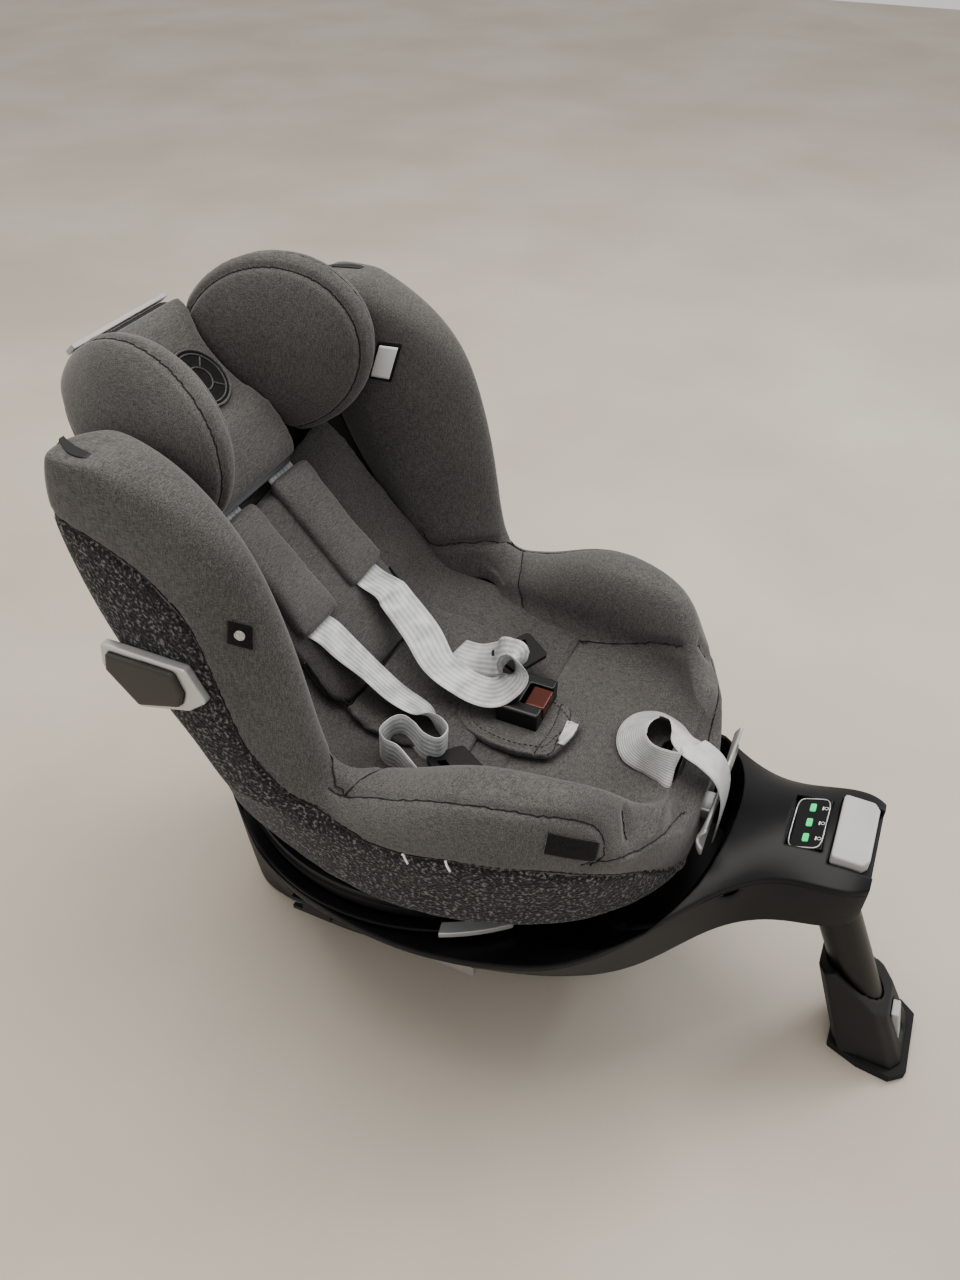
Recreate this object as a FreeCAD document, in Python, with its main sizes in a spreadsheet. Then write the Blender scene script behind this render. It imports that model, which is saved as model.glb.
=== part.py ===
"""Convertible child car seat on a rotating base, as a parametric FreeCAD document.

Frame: millimetres, +Z up, origin on the floor under the turntable's axis, the seat faces -Y.
Every sub-part is one object of the document, and its Label is the name of its STEP file.
"""
import FreeCAD, Part
import Sketcher
import math
import os

V = FreeCAD.Vector
OUT = "parts"
os.makedirs(OUT, exist_ok=True)
doc = FreeCAD.newDocument("car_seat")

# ---------------------------------------------------------------- driving dimensions
DIMENSIONS = [
    ("ball_z", 265), ("bowl_rad", 214), ("cradle_out", 212.5), ("cradle_in", 207.5), ("hull_out", 205.5),
    ("hull_wall", 4), ("tub_wall", 4), ("cover_edge", 6), ("ring_in", 194), ("ring_out", 206),
    ("pad_thick", 3), ("seat_half", 205), ("cloth_thick", 12), ("shell_wall", 5),
    ("cushion_half", 124), ("cushion_top", 288), ("back_tilt", 41), ("inlay_thick", 14),
    ("leg_rad", 20), ("leg_wall", 2.5), ("leg_length", 172), ("stay_rad", 17), ("stay_length", 140),
    ("leg_lean", 23.5), ("leg_pin_y", -378), ("leg_pin_z", 214), ("leg_pin_rad", 5), ("leg_pin_length", 88),
    ("arm_spacing", 280), ("arm_width", 18), ("arm_height", 20), ("arm_length", 190), ("arm_z", 76),
    ("anchor_rad", 3.05), ("screw_rad", 3), ("screw_length", 12), ("lamp_length", 9), ("lamp_width", 5),
    ("panel_width", 60), ("panel_length", 30), ("panel_thick", 3), ("rail_rad", 4), ("rail_length", 160),
    ("roller_rad", 3), ("roller_length", 8), ("roller_count", 12), ("webbing_thick", 2), ("webbing_width", 38),
]
sheet = doc.addObject("Spreadsheet::Sheet", "dimensions")
for row, (alias, value) in enumerate(DIMENSIONS, start=1):
    sheet.set(f"A{row}", alias)
    sheet.set(f"B{row}", str(value))
    sheet.setAlias(f"B{row}", alias)
doc.recompute()


def dim(alias):
    """A driving dimension, read back from the sheet."""
    return float(sheet.get(alias))


BALL = V(0, 0, dim("ball_z"))
SIDES = (("left", 1), ("right", -1))
pieces = []


# ---------------------------------------------------------------- construction helpers
def keep(obj, label, placement=None):
    obj.Label = label
    if placement is not None:
        obj.Placement = placement
    pieces.append(obj)
    return obj


def feature(label, shape, placement=None):
    """A sub-part whose form is free, made with Part's own functions."""
    obj = doc.addObject("Part::Feature", label)
    obj.Shape = shape
    return keep(obj, label, placement)


def face_of(points):
    return Part.Face(Part.makePolygon([*points, points[0]]))


def prism_x(outline, low, high):
    """A (y, z) outline drawn out along X."""
    face = face_of([V(low, y, z) for y, z in outline])
    return face.extrude(V(high - low, 0, 0))


def prism_z(outline, low, high):
    face = face_of([V(x, y, low) for x, y in outline])
    return face.extrude(V(0, 0, high - low))


def block(low, high):
    return Part.makeBox(high[0] - low[0], high[1] - low[1], high[2] - low[2], V(*low))


def rounded(shape, radius, direction=None):
    """Fillets the edges that run along direction, or every edge."""
    edges = []
    for edge in shape.Edges:
        if direction is None or abs(edge.tangentAt(edge.FirstParameter).dot(direction)) > 0.99:
            edges.append(edge)
    return shape.makeFillet(radius, edges)


def mirrored(shape, side):
    """The shape is drawn on the left, +X; the right one is its mirror image."""
    return shape if side > 0 else shape.mirror(V(0, 0, 0), V(1, 0, 0))


def both(shape):
    """The left shape and its mirror image on the right."""
    return Part.makeCompound([mirrored(shape, side) for _, side in SIDES])


def closed_curve(points):
    """A smooth closed curve; evenly spaced knots let curves of one loft match."""
    count = len(points)
    curve = Part.BSplineCurve()
    curve.interpolate(points, PeriodicFlag=True, Parameters=[i / count for i in range(count + 1)])
    return Part.Wire(curve.toShape())


def loft(wires, ruled=False):
    return Part.makeLoft(wires, True, ruled)


def carve(shape, tools):
    """Cuts the tools away one at a time, and keeps the largest solid that is left."""
    for tool in tools:
        shape = max(shape.cut(tool).Solids, key=lambda s: s.Volume)
    return shape


def ball(radius):
    return Part.makeSphere(radius, BALL)


def pad_body(label, plane, draw, length, placement=None, hole=None):
    """A PartDesign body: one sketch on an origin plane, padded by a cell of the sheet."""
    body = doc.addObject("PartDesign::Body", label)
    origin_plane = [f for f in body.Origin.OriginFeatures if f.Role == plane][0]
    sketch = body.newObject("Sketcher::SketchObject", label + "_outline")
    sketch.AttachmentSupport = [(origin_plane, "")]
    sketch.MapMode = "FlatFace"
    draw(sketch)
    pad = body.newObject("PartDesign::Pad", label + "_pad")
    pad.Profile = sketch
    pad.setExpression("Length", f"dimensions.{length}")
    doc.recompute()
    if hole is not None:
        cut_sketch = body.newObject("Sketcher::SketchObject", label + "_bore")
        cut_sketch.AttachmentSupport = [(origin_plane, "")]
        cut_sketch.MapMode = "FlatFace"
        hole(cut_sketch)
        pocket = body.newObject("PartDesign::Pocket", label + "_pocket")
        pocket.Profile = cut_sketch
        pocket.Type = "ThroughAll"
        pocket.Midplane = True
    doc.recompute()
    return keep(body, label, placement)


def circle(expression):
    """Draws a circle about the sketch's origin, its radius bound to the sheet."""
    def draw(sketch):
        sketch.addGeometry(Part.Circle(V(0, 0, 0), V(0, 0, 1), 1), False)
        sketch.addConstraint(Sketcher.Constraint("Radius", 0, 1.0))
        sketch.setExpression("Constraints[0]", expression)
    return draw


def polygon(points):
    def draw(sketch):
        for a, b in zip(points, points[1:] + points[:1]):
            sketch.addGeometry(Part.LineSegment(V(a[0], a[1], 0), V(b[0], b[1], 0)), False)
    return draw


def turned(axis, degrees, at=V(0, 0, 0)):
    return FreeCAD.Placement(at, FreeCAD.Rotation(axis, degrees))


def drawer(x, y):
    """A rectangle of size x by y about the sketch's origin."""
    return polygon([(-x / 2, -y / 2), (x / 2, -y / 2), (x / 2, y / 2), (-x / 2, y / 2)])


# ---------------------------------------------------------------- base
# Cross-sections of the base from the rear end to the tip of the bridge:
# y, half-width and height of the keel, half-width and height of the lip, height of the crown above it
STATIONS = [
    (214, 68, 40, 72, 196, 2),
    (199, 84, 10, 98, 198, 2),
    (180, 97, 3, 120, 199, 2),
    (135, 107, 3, 158, 197, 2),
    (90, 114, 3, 187, 194, 2),
    (0, 107, 3, 209, 189, 2),
    (-80, 94, 3, 207, 185, 4),
    (-145, 80, 6, 191, 185, 9),
    (-205, 66, 28, 168, 199, 14),
    (-250, 60, 76, 128, 217, 18),
    (-285, 56, 130, 90, 232, 20),
    (-320, 53, 172, 64, 246, 20),
    (-365, 51, 196, 58, 260, 14),
    (-400, 50, 212, 56, 266, 9),
    (-410, 44, 220, 50, 266, 7),
]
FLANK_BULGE = 2


def tub_section(station, inset):
    y, keel, low, lip, high, _ = station
    top = high - dim("cover_edge")
    keel, lip, low = keel - inset, lip - inset, low + inset
    top = top - (inset and 0.5 * inset)
    middle = (keel + lip) / 2 + FLANK_BULGE * min(1.0, (top - low) / 150)
    a, b = V(-keel, y, low), V(keel, y, low)
    c, d = V(lip, y, top), V(-lip, y, top)
    half = (low + top) / 2
    right = Part.Arc(b, V(middle, y, half), c).toShape()
    left = Part.Arc(d, V(-middle, y, half), a).toShape()
    return Part.Wire([Part.LineSegment(a, b).toShape(), right, Part.LineSegment(c, d).toShape(), left])


def cover_section(station):
    y, _, _, lip, high, crown = station
    low = high - dim("cover_edge")
    a, b, c, d = V(-lip, y, low), V(lip, y, low), V(lip, y, high), V(-lip, y, high)
    top = Part.Arc(c, V(0, y, high + crown), d).toShape()
    line = lambda p, q: Part.LineSegment(p, q).toShape()
    return Part.Wire([line(a, b), line(b, c), top, line(d, a)])


# Swept space of the seat as it turns, as a (radius, z) profile: the base's dish follows it.
DISH = [(201, 190), (212, 190), (240, 194), (262, 202), (280, 212), (290, 236), (297, 300)]
SLOT_HALF = 23.0
CHANNEL_HALF = 48.0
ARM_GAP = 1.2


def dish_space(inner):
    profile = [V(r, 0, z) for r, z in [*DISH, (inner, DISH[-1][1]), (inner, DISH[0][1])]]
    return face_of(profile).revolve(V(0, 0, 0), V(0, 0, 1), 360)


def arm_channels():
    half = dim("arm_width") / 2 + ARM_GAP
    tall = dim("arm_height") / 2 + ARM_GAP
    z = dim("arm_z")
    spaces = []
    for _, side in SIDES:
        x = side * dim("arm_spacing") / 2
        spaces.append(block((x - half, -105, z - tall), (x + half, 260, z + tall)))
    return spaces


def leg_space():
    slot = block((-SLOT_HALF, -404, 150), (SLOT_HALF, -318, 242))
    channel = block((-CHANNEL_HALF, -345, -5), (CHANNEL_HALF, -178, 128))
    return [slot, channel]


def make_base():
    outer = loft([tub_section(s, 0) for s in STATIONS])
    inner = loft([tub_section(s, dim("tub_wall")) for s in STATIONS[1:-3]])
    inner = inner.cut(ball(dim("bowl_rad") + dim("tub_wall")))
    pin_hole = Part.makeCylinder(dim("leg_pin_rad") + 0.05, 94, V(-47, dim("leg_pin_y"), dim("leg_pin_z")), V(1, 0, 0))
    dish = dish_space(199)
    below = block((-300, -500, -60), (300, 300, dim("pad_thick")))
    spaces = [*arm_channels(), *leg_space(), lever_slot(), pin_hole, dish, below]
    feature("base_lower_shell", carve(outer, [ball(dim("bowl_rad")), inner, *spaces]))

    cover = loft([cover_section(s) for s in STATIONS])
    well = Part.makeCylinder(DISH[0][0], 300)
    feature("base_top_cover", carve(cover, [well, dish_space(DISH[0][0] - 1), panel_block(), button_pocket(), lever_slot()]))


BRIDGE_SLOPE = 22.0


def on_bridge(y, lift=0.0):
    """Placement on the bridge's sloping top, a distance lift out from it."""
    z = 275.5 + (y + 366) * -math.tan(math.radians(BRIDGE_SLOPE))
    turn = FreeCAD.Rotation(V(1, 0, 0), -BRIDGE_SLOPE)
    return FreeCAD.Placement(V(0, y, z) + turn.multVec(V(0, 0, lift)), turn)


def panel_block():
    depth = 8
    shape = Part.makeBox(dim("panel_width") + 0.4, dim("panel_length") + 0.4, depth + 20,
                         V(-dim("panel_width") / 2 - 0.2, -dim("panel_length") / 2 - 0.2, -depth))
    shape.Placement = on_bridge(-351)
    return shape


def button_pocket():
    return block((-39, -420, 262), (39, -373, 300))


def lever_slot():
    return block((-8, -396, 240), (8, -380, 270))


def make_bridge_fittings():
    half = dim("panel_width") / 2
    deep = dim("panel_length") / 2
    pad_body("display_panel", "XY_Plane", drawer(2 * half, 2 * deep), "panel_thick", on_bridge(-351, -5.2))
    lamps = []
    for x in (-18, 0, 18):
        lamp = Part.makeBox(dim("lamp_length"), dim("lamp_width"), 1.2,
                            V(x - dim("lamp_length") / 2, -dim("lamp_width") / 2, 0))
        lamps.append(rounded(lamp, 1.2, V(0, 0, 1)))
    feature("indicator_lamps", Part.makeCompound(lamps), on_bridge(-351, -2.2))
    outline = [(-37, 0), (37, 0), (37, 26), (30, 31), (-30, 31), (-37, 26)]
    cap = prism_z([(x, -374 - y) for x, y in outline], 266, 278)
    stem = block((-7, -395, 252), (7, -381, 267))
    feature("front_release_button", rounded(cap, 3, V(0, 0, 1)).fuse(stem).removeSplitter())


def make_base_fittings():
    pad_body("floor_pad", "XY_Plane", drawer(140, 220), "pad_thick")
    plate = block((-88, -100, 10), (88, 160, 12)).cut(block((-60, -60, 5), (60, 60, 15)))
    feature("steel_floor_plate", plate)
    bosses = []
    for x in (-60, 60):
        for y in (-85, 140):
            screw = Part.makeCylinder(dim("screw_rad"), dim("screw_length"), V(x, y, 13))
            head = Part.makeCylinder(2 * dim("screw_rad"), 3, V(x, y, 13))
            bosses.append(screw.fuse(head))
    feature("case_screws", Part.makeCompound(bosses))
    rollers = []
    count = int(dim("roller_count"))
    for i in range(count):
        spin = FreeCAD.Rotation(V(0, 0, 1), 360.0 * i / count)
        track = dim("bowl_rad")
        deep = math.asin(70 / track)
        # the rollers ride in pockets of the cradle's underside
        where = BALL + spin.multVec(V(track * math.sin(deep), 0, -track * math.cos(deep)))
        axis = spin.multVec(V(math.cos(deep), 0, math.sin(deep)))
        rollers.append(Part.makeCylinder(dim("roller_rad"), dim("roller_length"),
                                         where - axis * (dim("roller_length") / 2), axis))
    shells = ball(dim("bowl_rad")).cut(ball(dim("cradle_out") + 0.35))
    feature("slew_rollers", Part.makeCompound([r.common(shells) for r in rollers]))


def make_arms():
    """Rigid lower-anchor arms: they slide out of the base to the rear, joined by a cross bar."""
    z = dim("arm_z")
    half, tall = dim("arm_width") / 2, dim("arm_height") / 2
    arms, cases, jaws = [], [], []
    for name, side in SIDES:
        x = side * dim("arm_spacing") / 2
        arms.append(block((x - 5, 92 - dim("arm_length"), z - tall + 2), (x + 5, 92, z + tall - 4.2)))
        case = block((x - half, 60, z - tall), (x + half, 104, z + tall))
        core = block((x - 5.1, 50, z - tall + 1.9), (x + 5.1, 92.1, z + tall - 1.9))
        mouth = block((x - half - 1, 92, z - 5), (x + half + 1, 110, z + 5))
        window = block((x - 4.8, 62, z + tall - 2.1), (x + 4.8, 82, z + tall + 1))
        cases.append(case.cut([core, mouth, window]))
        button = block((x - 4.4, 64, z + tall - 1.8), (x + 4.4, 80, z + tall + 0.4))
        feature("connector_button_" + name, rounded(button, 1, V(0, 0, 1)))
        jaw = block((x - 5, 92.3, z - 4.8), (x + 5, 104, z + 4.8))
        bar = Part.makeCylinder(dim("anchor_rad"), 12, V(x - 6, 99, z), V(1, 0, 0))
        gap = block((x - 6, 99, z - dim("anchor_rad")), (x + 6, 110, z + dim("anchor_rad")))
        jaws.append(jaw.cut([bar, gap]))
    feature("anchor_arms", Part.makeCompound(arms))
    feature("connector_cases", Part.makeCompound(cases))
    feature("anchor_jaws", Part.makeCompound(jaws))


# ---------------------------------------------------------------- load leg
LEG_PIN = V(0, dim("leg_pin_y"), dim("leg_pin_z"))
LEG_DOWN = FreeCAD.Rotation(V(1, 0, 0), -dim("leg_lean")).multVec(V(0, 0, -1))
LEG_FRONT = LEG_DOWN.cross(V(1, 0, 0))


def down_leg(distance):
    """Placement on the leg's axis: local +Z points down the leg and local +Y to the front."""
    turn = FreeCAD.Rotation(V(1, 0, 0), LEG_FRONT, LEG_DOWN, "ZXY")
    return FreeCAD.Placement(LEG_PIN + LEG_DOWN * distance, turn)


def make_leg():
    start = 14.0
    pad_body("leg_tube", "XY_Plane", circle("dimensions.leg_rad"), "leg_length", down_leg(start),
             circle("dimensions.leg_rad - dimensions.leg_wall"))
    bore = Part.makeCylinder(dim("leg_pin_rad") + 0.05, 50, LEG_PIN + V(-25, 0, 0), V(1, 0, 0))
    eye = Part.makeCylinder(15, 40, LEG_PIN + V(-20, 0, 0), V(1, 0, 0))
    plug = Part.makeCylinder(dim("leg_rad") - dim("leg_wall") - 0.05, 28)
    plug.Placement = down_leg(0)
    feature("leg_top_fitting", eye.cut(leg_tube_space()).fuse(plug).cut(bore))
    pad_body("leg_pivot_pin", "XY_Plane", circle("dimensions.leg_pin_rad"), "leg_pin_length",
             turned(V(0, 1, 0), 90, LEG_PIN - V(dim("leg_pin_length") / 2, 0, 0)))


def leg_tube_space():
    space = Part.makeCylinder(dim("leg_rad") + 0.05, dim("leg_length"))
    space.Placement = down_leg(14.0)
    return space


# Cross-sections of the foot down the leg: distance, half-width, reach to the rear and to the front
FOOT_RINGS = [(112, 26, 27, 24), (150, 30, 29, 25), (180, 34, 30, 26), (212, 37, 32, 27), (250, 39, 32, 30)]
# Everything above this (y, z) line is open, so the collar is high behind the tube and low in front
COLLAR_CUT = [(-380, 124), (-408, 112), (-478, 60), (-560, 52), (-560, 220), (-380, 220)]


def make_foot():
    """The foot: inner stay, housing with its collar, sole and length button."""
    stay = Part.makeCylinder(dim("stay_rad"), dim("stay_length"))
    notches = []
    for i in range(6):
        notches.append(Part.makeBox(40, 4, 5, V(-20, dim("stay_rad") - 3, 12 + 14 * i)))
    stay = stay.cut(notches)
    feature("leg_stay", stay, down_leg(70))
    rings = []
    for along, half, back, front in FOOT_RINGS:
        corners = [(half, -back + 8), (half, front - 8), (half - 12, front), (-half + 12, front), (-half, front - 8),
                   (-half, -back + 8), (-half + 12, -back), (half - 12, -back), (half, -back + 8)]
        rings.append(Part.makePolygon([V(x, y, along) for x, y in corners]))
    case = loft(rings, True)
    case.Placement = down_leg(0)
    bore = Part.makeCylinder(dim("leg_rad") + 0.5, 80)
    bore.Placement = down_leg(110)
    seat = Part.makeCylinder(dim("stay_rad") + 0.05, 40)
    seat.Placement = down_leg(175)
    floor_cut = block((-80, -600, -60), (80, -300, 9))
    above = prism_x(COLLAR_CUT, -60, 60)
    feature("foot_case", case.cut([bore, seat, floor_cut, above, foot_button_space()]))
    outline = [(-31, -430), (31, -430), (42, -460), (45, -490), (34, -504), (-34, -504), (-45, -490), (-42, -460)]
    feature("foot_sole", rounded(prism_z(outline, 0, 8.7), 3, V(0, 0, 1)))
    feature("foot_button", prism_x([(-475, 56), (-484.8, 15), (-492, 15), (-482, 57)], -9, 9))


def foot_button_space():
    return prism_x([(-466.5, 57.6), (-477, 14.4), (-520, 14.4), (-520, 57.6)], -9.6, 9.6)


# ---------------------------------------------------------------- turntable
def make_turntable():
    below = block((-300, -300, 0), (300, 300, 186))
    cradle = ball(dim("cradle_out")).common(below).cut(ball(dim("cradle_in")))
    feature("turntable_cradle", cradle)
    ring = Part.makeCylinder(197, 9, V(0, 0, 186.2)).cut(Part.makeCylinder(dim("ring_in"), 20, V(0, 0, 180)))
    flange = Part.makeCylinder(dim("ring_out"), 3, V(0, 0, 192.2)).cut(Part.makeCylinder(196, 20, V(0, 0, 180)))
    feature("turntable_ring", ring.fuse(flange).removeSplitter())
    for name, side in SIDES:
        outer = Part.makeCylinder(213, 6, V(0, 0, 195.6))
        inner = Part.makeCylinder(201.5, 8, V(0, 0, 195))
        wedge = prism_z([(150, -78), (215, -92), (215, -142), (150, -142)], 190, 210)
        crescent = outer.cut(inner).common(wedge)
        feature("turn_button_" + name, mirrored(crescent, side))


# ---------------------------------------------------------------- seat
# Half outline of the seat's skirt in plan, from the front centre to the rear centre
SKIRT_LOW = [(53, -262), (95, -245), (129, -218), (156, -184), (180, -134), (195, -78), (198, -20), (190, 40),
             (176, 95), (156, 140), (110, 170), (56, 184)]
SKIRT_HIGH = [(60, -257), (105, -242), (144, -214), (173, -177), (194, -129), (204, -75), (205, -20), (203, 40),
              (196, 95), (172, 142), (118, 176), (60, 190)]
SKIRT_Z = (222.0, 300.0)
REAR_RISE = [(0, 150), (400, 150), (400, 262), (140, 241), (20, 222)]


def inset_outline(half, inset):
    """The full outline, moved inwards along its own normals."""
    front, rear = half[0][1] - 3, half[-1][1] + 5
    full = [(0, front), *half, (0, rear), *[(-x, y) for x, y in reversed(half)]]
    moved = []
    for i, (x, y) in enumerate(full):
        before, after = full[i - 1], full[(i + 1) % len(full)]
        tangent = V(after[0] - before[0], after[1] - before[1], 0)
        tangent.normalize()
        moved.append((x - inset * tangent.y, y + inset * tangent.x))
    return moved


def skirt(inset, low=SKIRT_Z[0], high=SKIRT_Z[1]):
    """The seat's outer form between two heights, moved inwards by inset."""
    wires = []
    for z in (low, (low + high) / 2, high):
        share = (z - SKIRT_Z[0]) / (SKIRT_Z[1] - SKIRT_Z[0])
        blend = [(a[0] + (b[0] - a[0]) * share, a[1] + (b[1] - a[1]) * share) for a, b in zip(SKIRT_LOW, SKIRT_HIGH)]
        wires.append(closed_curve([V(x, y, z) for x, y in inset_outline(blend, inset)]))
    return loft(wires)


def saddle():
    """The dip of the seat's front edge, between the thigh bolsters."""
    face = face_of([V(x, -400, z) for x, z in [(-98, 320), (-98, 302), (-58, 276), (58, 276), (98, 302), (98, 320)]])
    return face.extrude(V(0, 162, 0))


def handle_slot():
    """Room for the recline handle's stem to move up and down."""
    return block((-14, -290, 240), (14, -236, 263))


def rear_cut():
    return prism_x([(y, z) for y, z in REAR_RISE], -400, 400)


# Plan of the wings and the back shell at rising heights:
# z, crest y, rear corner y at the side, rear y on the centre line
LEVELS = [
    (303, 12, 108, 182),
    (345, 12, 134, 196),
    (400, 23, 170, 218),
    (455, 32, 198, 247),
    (505, 45, 213, 273),
    (555, 70, 219, 290),
    (588, 112, 212, 287),
    (603, 150, 205, 278),
]
WING_IN = 146.0


def wing_section(level):
    z, crest, corner, _ = level
    half = dim("seat_half")
    depth = corner - crest
    inner = WING_IN if depth > 90 else WING_IN + 10
    points = [(inner + 14, corner - 0.08 * depth), (inner, corner - 0.28 * depth), (inner - 2, crest + 0.5 * depth),
              (inner + 9, crest + 0.16 * depth), (178, crest), (198, crest + 0.13 * depth),
              (half, crest + 0.5 * depth), (half - 1, corner - 0.2 * depth), (half - 6, corner - 0.04 * depth),
              (half - 22, corner)]
    return closed_curve([V(x, y, z) for x, y in points])


def shell_section(level, inset, forward):
    """A plan D: straight at the front, rounded at the rear."""
    z, crest, corner, rear = level
    half = dim("seat_half") - dim("cloth_thick") - inset
    front = crest + 22 - forward
    rear = rear - inset
    corner = corner - 6 - inset
    a, b = V(-half, front, z), V(half, front, z)
    curve = Part.BSplineCurve()
    curve.interpolate([b, V(half, (front + corner) / 2, z), V(half - 8, corner, z),
                       V(half * 0.7, corner + (rear - corner) * 0.6, z), V(0, rear, z),
                       V(-half * 0.7, corner + (rear - corner) * 0.6, z), V(-half + 8, corner, z),
                       V(-half, (front + corner) / 2, z), a])
    return Part.Wire([Part.LineSegment(a, b).toShape(), curve.toShape()])


SEAM = [(300, 545), (219, 549), (175, 540), (136, 521), (105, 485), (90, 430), (74, 371), (39, 328), (20, 322),
        (20, 290), (300, 290)]


def make_seat_shells():
    low = ball(dim("hull_out")).common(block((-300, -300, 0), (300, 300, 214)))
    flange = Part.makeCylinder(197, 7.7, V(0, 0, 213.9)).cut(Part.makeCylinder(170, 20, V(0, 0, 205)))
    feature("hull_shell", low.cut(ball(dim("hull_out") - dim("hull_wall"))).fuse(flange).removeSplitter())
    fabric = dim("cloth_thick")
    wall = dim("shell_wall")
    tub = skirt(fabric + 0.3, 222, 296).cut([skirt(fabric + wall, 227, 298), rear_cut(), saddle(), handle_slot()])
    feature("tub_shell", tub)
    outer = loft([shell_section(level, 0, 0) for level in LEVELS])
    inner = loft([shell_section(level, wall, 40) for level in open_levels()])
    shell = outer.cut(inner).cut(headrest_gap())
    # the crest falls away behind the padded wings
    crest = prism_x([(205, 601), (262, 545), (262, 700), (205, 700)], -300, 300)
    feature("back_shell", max(shell.cut(crest).Solids, key=lambda s: s.Volume))


def headrest_gap():
    """The notch in the back shell's upper rim that the headrest moves in: (x, distance up the back)."""
    outline = [(-145, 600), (-145, 234), (-62, 234), (-62, 268), (62, 268), (62, 234), (145, 234), (145, 600)]
    gap = prism_z(outline, -160, 120)
    gap.Placement = back_plane(0, 0)
    return gap


def open_levels():
    """The back shell's inside, drawn past its lower and upper rims."""
    first, last = LEVELS[0], LEVELS[-1]
    return [(first[0] - 6, *first[1:]), *LEVELS[1:-1], (last[0] + 6, *last[1:])]


def make_wings():
    shell = loft([shell_section(level, -0.3, 0) for level in LEVELS])
    core = loft([shell_section(level, dim("shell_wall") + 0.3, 40) for level in open_levels()])
    seam = prism_x(SEAM, dim("seat_half") - dim("cloth_thick") - 4, 260)
    full = loft([wing_section(level) for level in LEVELS])
    wing = full.cut(shell.cut(core))
    panel = max(wing.common(seam).Solids, key=lambda s: s.Volume)
    cover = max(wing.cut(seam).Solids, key=lambda s: s.Volume)
    feature("wing_bolsters", both(cover))
    feature("wing_panels", both(panel))


# Crest of the thigh bolsters: y, height, inner edge
THIGH = [(-240, 318, 52), (-205, 354, 96), (-170, 371, 114), (-135, 373, 121), (-100, 369, 126), (-65, 356, 130),
         (-30, 342, 135), (5, 332, 144)]


def thigh_section(y, crest, inner):
    edge = skirt_half_width(y) - 2
    low = 300.6
    top = max(crest, low + 4)
    middle = (low + top) / 2
    points = [(inner + 4, low), (inner, middle), (inner + 12, top - 5), ((inner + edge) / 2, top), (edge - 12, top - 7),
              (edge, middle), (edge - 1, low), ((inner + edge) / 2, low - 0.2)]
    return closed_curve([V(x, y, z) for x, z in points])


def skirt_half_width(y):
    """Half-width of the seat's upper outline at y."""
    points = sorted((b, a) for a, b in SKIRT_HIGH[:8])
    for (y0, x0), (y1, x1) in zip(points, points[1:]):
        if y0 <= y <= y1:
            return x0 + (x1 - x0) * (y - y0) / (y1 - y0)
    return points[-1][1]


def make_seat_covers():
    fabric = dim("cloth_thick")
    layer = skirt(0).cut(skirt(fabric, 220, 302)).cut(rear_cut())
    apron_zone = block((-400, -400, 0), (400, -205, 400))
    feature("front_apron", layer.common(apron_zone).cut([saddle(), handle_slot()]))
    quarter = layer.common(block((0.5, -204.7, 0), (400, 400, 400)))
    feature("side_panels", both(max(quarter.Solids, key=lambda s: s.Volume)))
    inside = skirt(fabric + dim("shell_wall") + 0.5, 227.4, 296).cut(rear_cut())
    half = dim("cushion_half")
    feature("seat_foam", both(inside.common(block((half + 1, -400, 0), (400, 60, 400)))))
    cushion = inside.common(block((-half, -400, 0), (half, 30, dim("cushion_top"))))
    crotch = block((-22, -112, 200), (22, -84, 400))
    hole = block((-21, -232, 250), (21, -216, 400))
    feature("seat_cushion", cushion.cut([crotch, hole, saddle(), handle_slot()]))
    bolster = loft([thigh_section(*row) for row in THIGH])
    feature("thigh_bolsters", both(bolster.cut(block((0, -400, 200), (400, 100, SKIRT_Z[1] + 0.4)))))


# ---------------------------------------------------------------- back and headrest
TILT = math.radians(dim("back_tilt"))
RISE = V(0, math.sin(TILT), math.cos(TILT))
OUTWARD = V(0, math.cos(TILT), -math.sin(TILT))
BACK_FOOT = V(0, 81.5, 335)


def back_plane(depth, along, x=0.0):
    """A placement on the back's plane: local X across, Y up the back and Z out towards the child."""
    at = BACK_FOOT + OUTWARD * depth + RISE * along + V(x, 0, 0)
    return FreeCAD.Placement(at, FreeCAD.Rotation(V(1, 0, 0), RISE, OUTWARD * -1, "XYZ"))


def up_the_back(depth, along, x):
    """A placement whose local Z points up the back."""
    turn = FreeCAD.Placement(V(0, 0, 0), FreeCAD.Rotation(V(1, 0, 0), -90))
    return back_plane(depth, along, x).multiply(turn)


def back_slab(width, low, high, near, far, corner=0.0):
    """A slab parallel to the back: width, span up the back, and depths of its two faces."""
    slab = Part.makeBox(width, high - low, far - near, V(-width / 2, low, -far))
    if corner:
        slab = rounded(slab, corner, V(0, 0, 1))
    slab.Placement = back_plane(0, 0)
    return slab


def make_back():
    thick = dim("inlay_thick")
    feature("infant_inlay", back_slab(168, -40, 158, 0, thick, 30))
    room = loft([shell_section(level, dim("shell_wall") + 0.5, 90) for level in open_levels()])
    cushion = back_slab(282, -34, 160, thick + 0.5, thick + 24, 12).common(room)
    feature("back_cushion", max(cushion.Solids, key=lambda s: s.Volume))
    rails = []
    for _, side in SIDES:
        rail = Part.makeCylinder(dim("rail_rad"), dim("rail_length"))
        rail.Placement = up_the_back(RAIL_DEPTH, HEAD_SPAN[0], side * RAIL_X)
        rails.append(rail)
    feature("headrest_rails", Part.makeCompound(rails))


HEAD_SHELL = (-8.0, -2.0)
HEAD_SPAN = (164.0, 341.0)
RAIL_X = 42.0
RAIL_DEPTH = 5.0
WING_CENTRE = (94.0, 211.0, 557.0)
WING_AXES = (38.0, 100.0, 84.0)
WING_TOE_OUT = 12.0
WING_PITCH = 30.0


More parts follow.
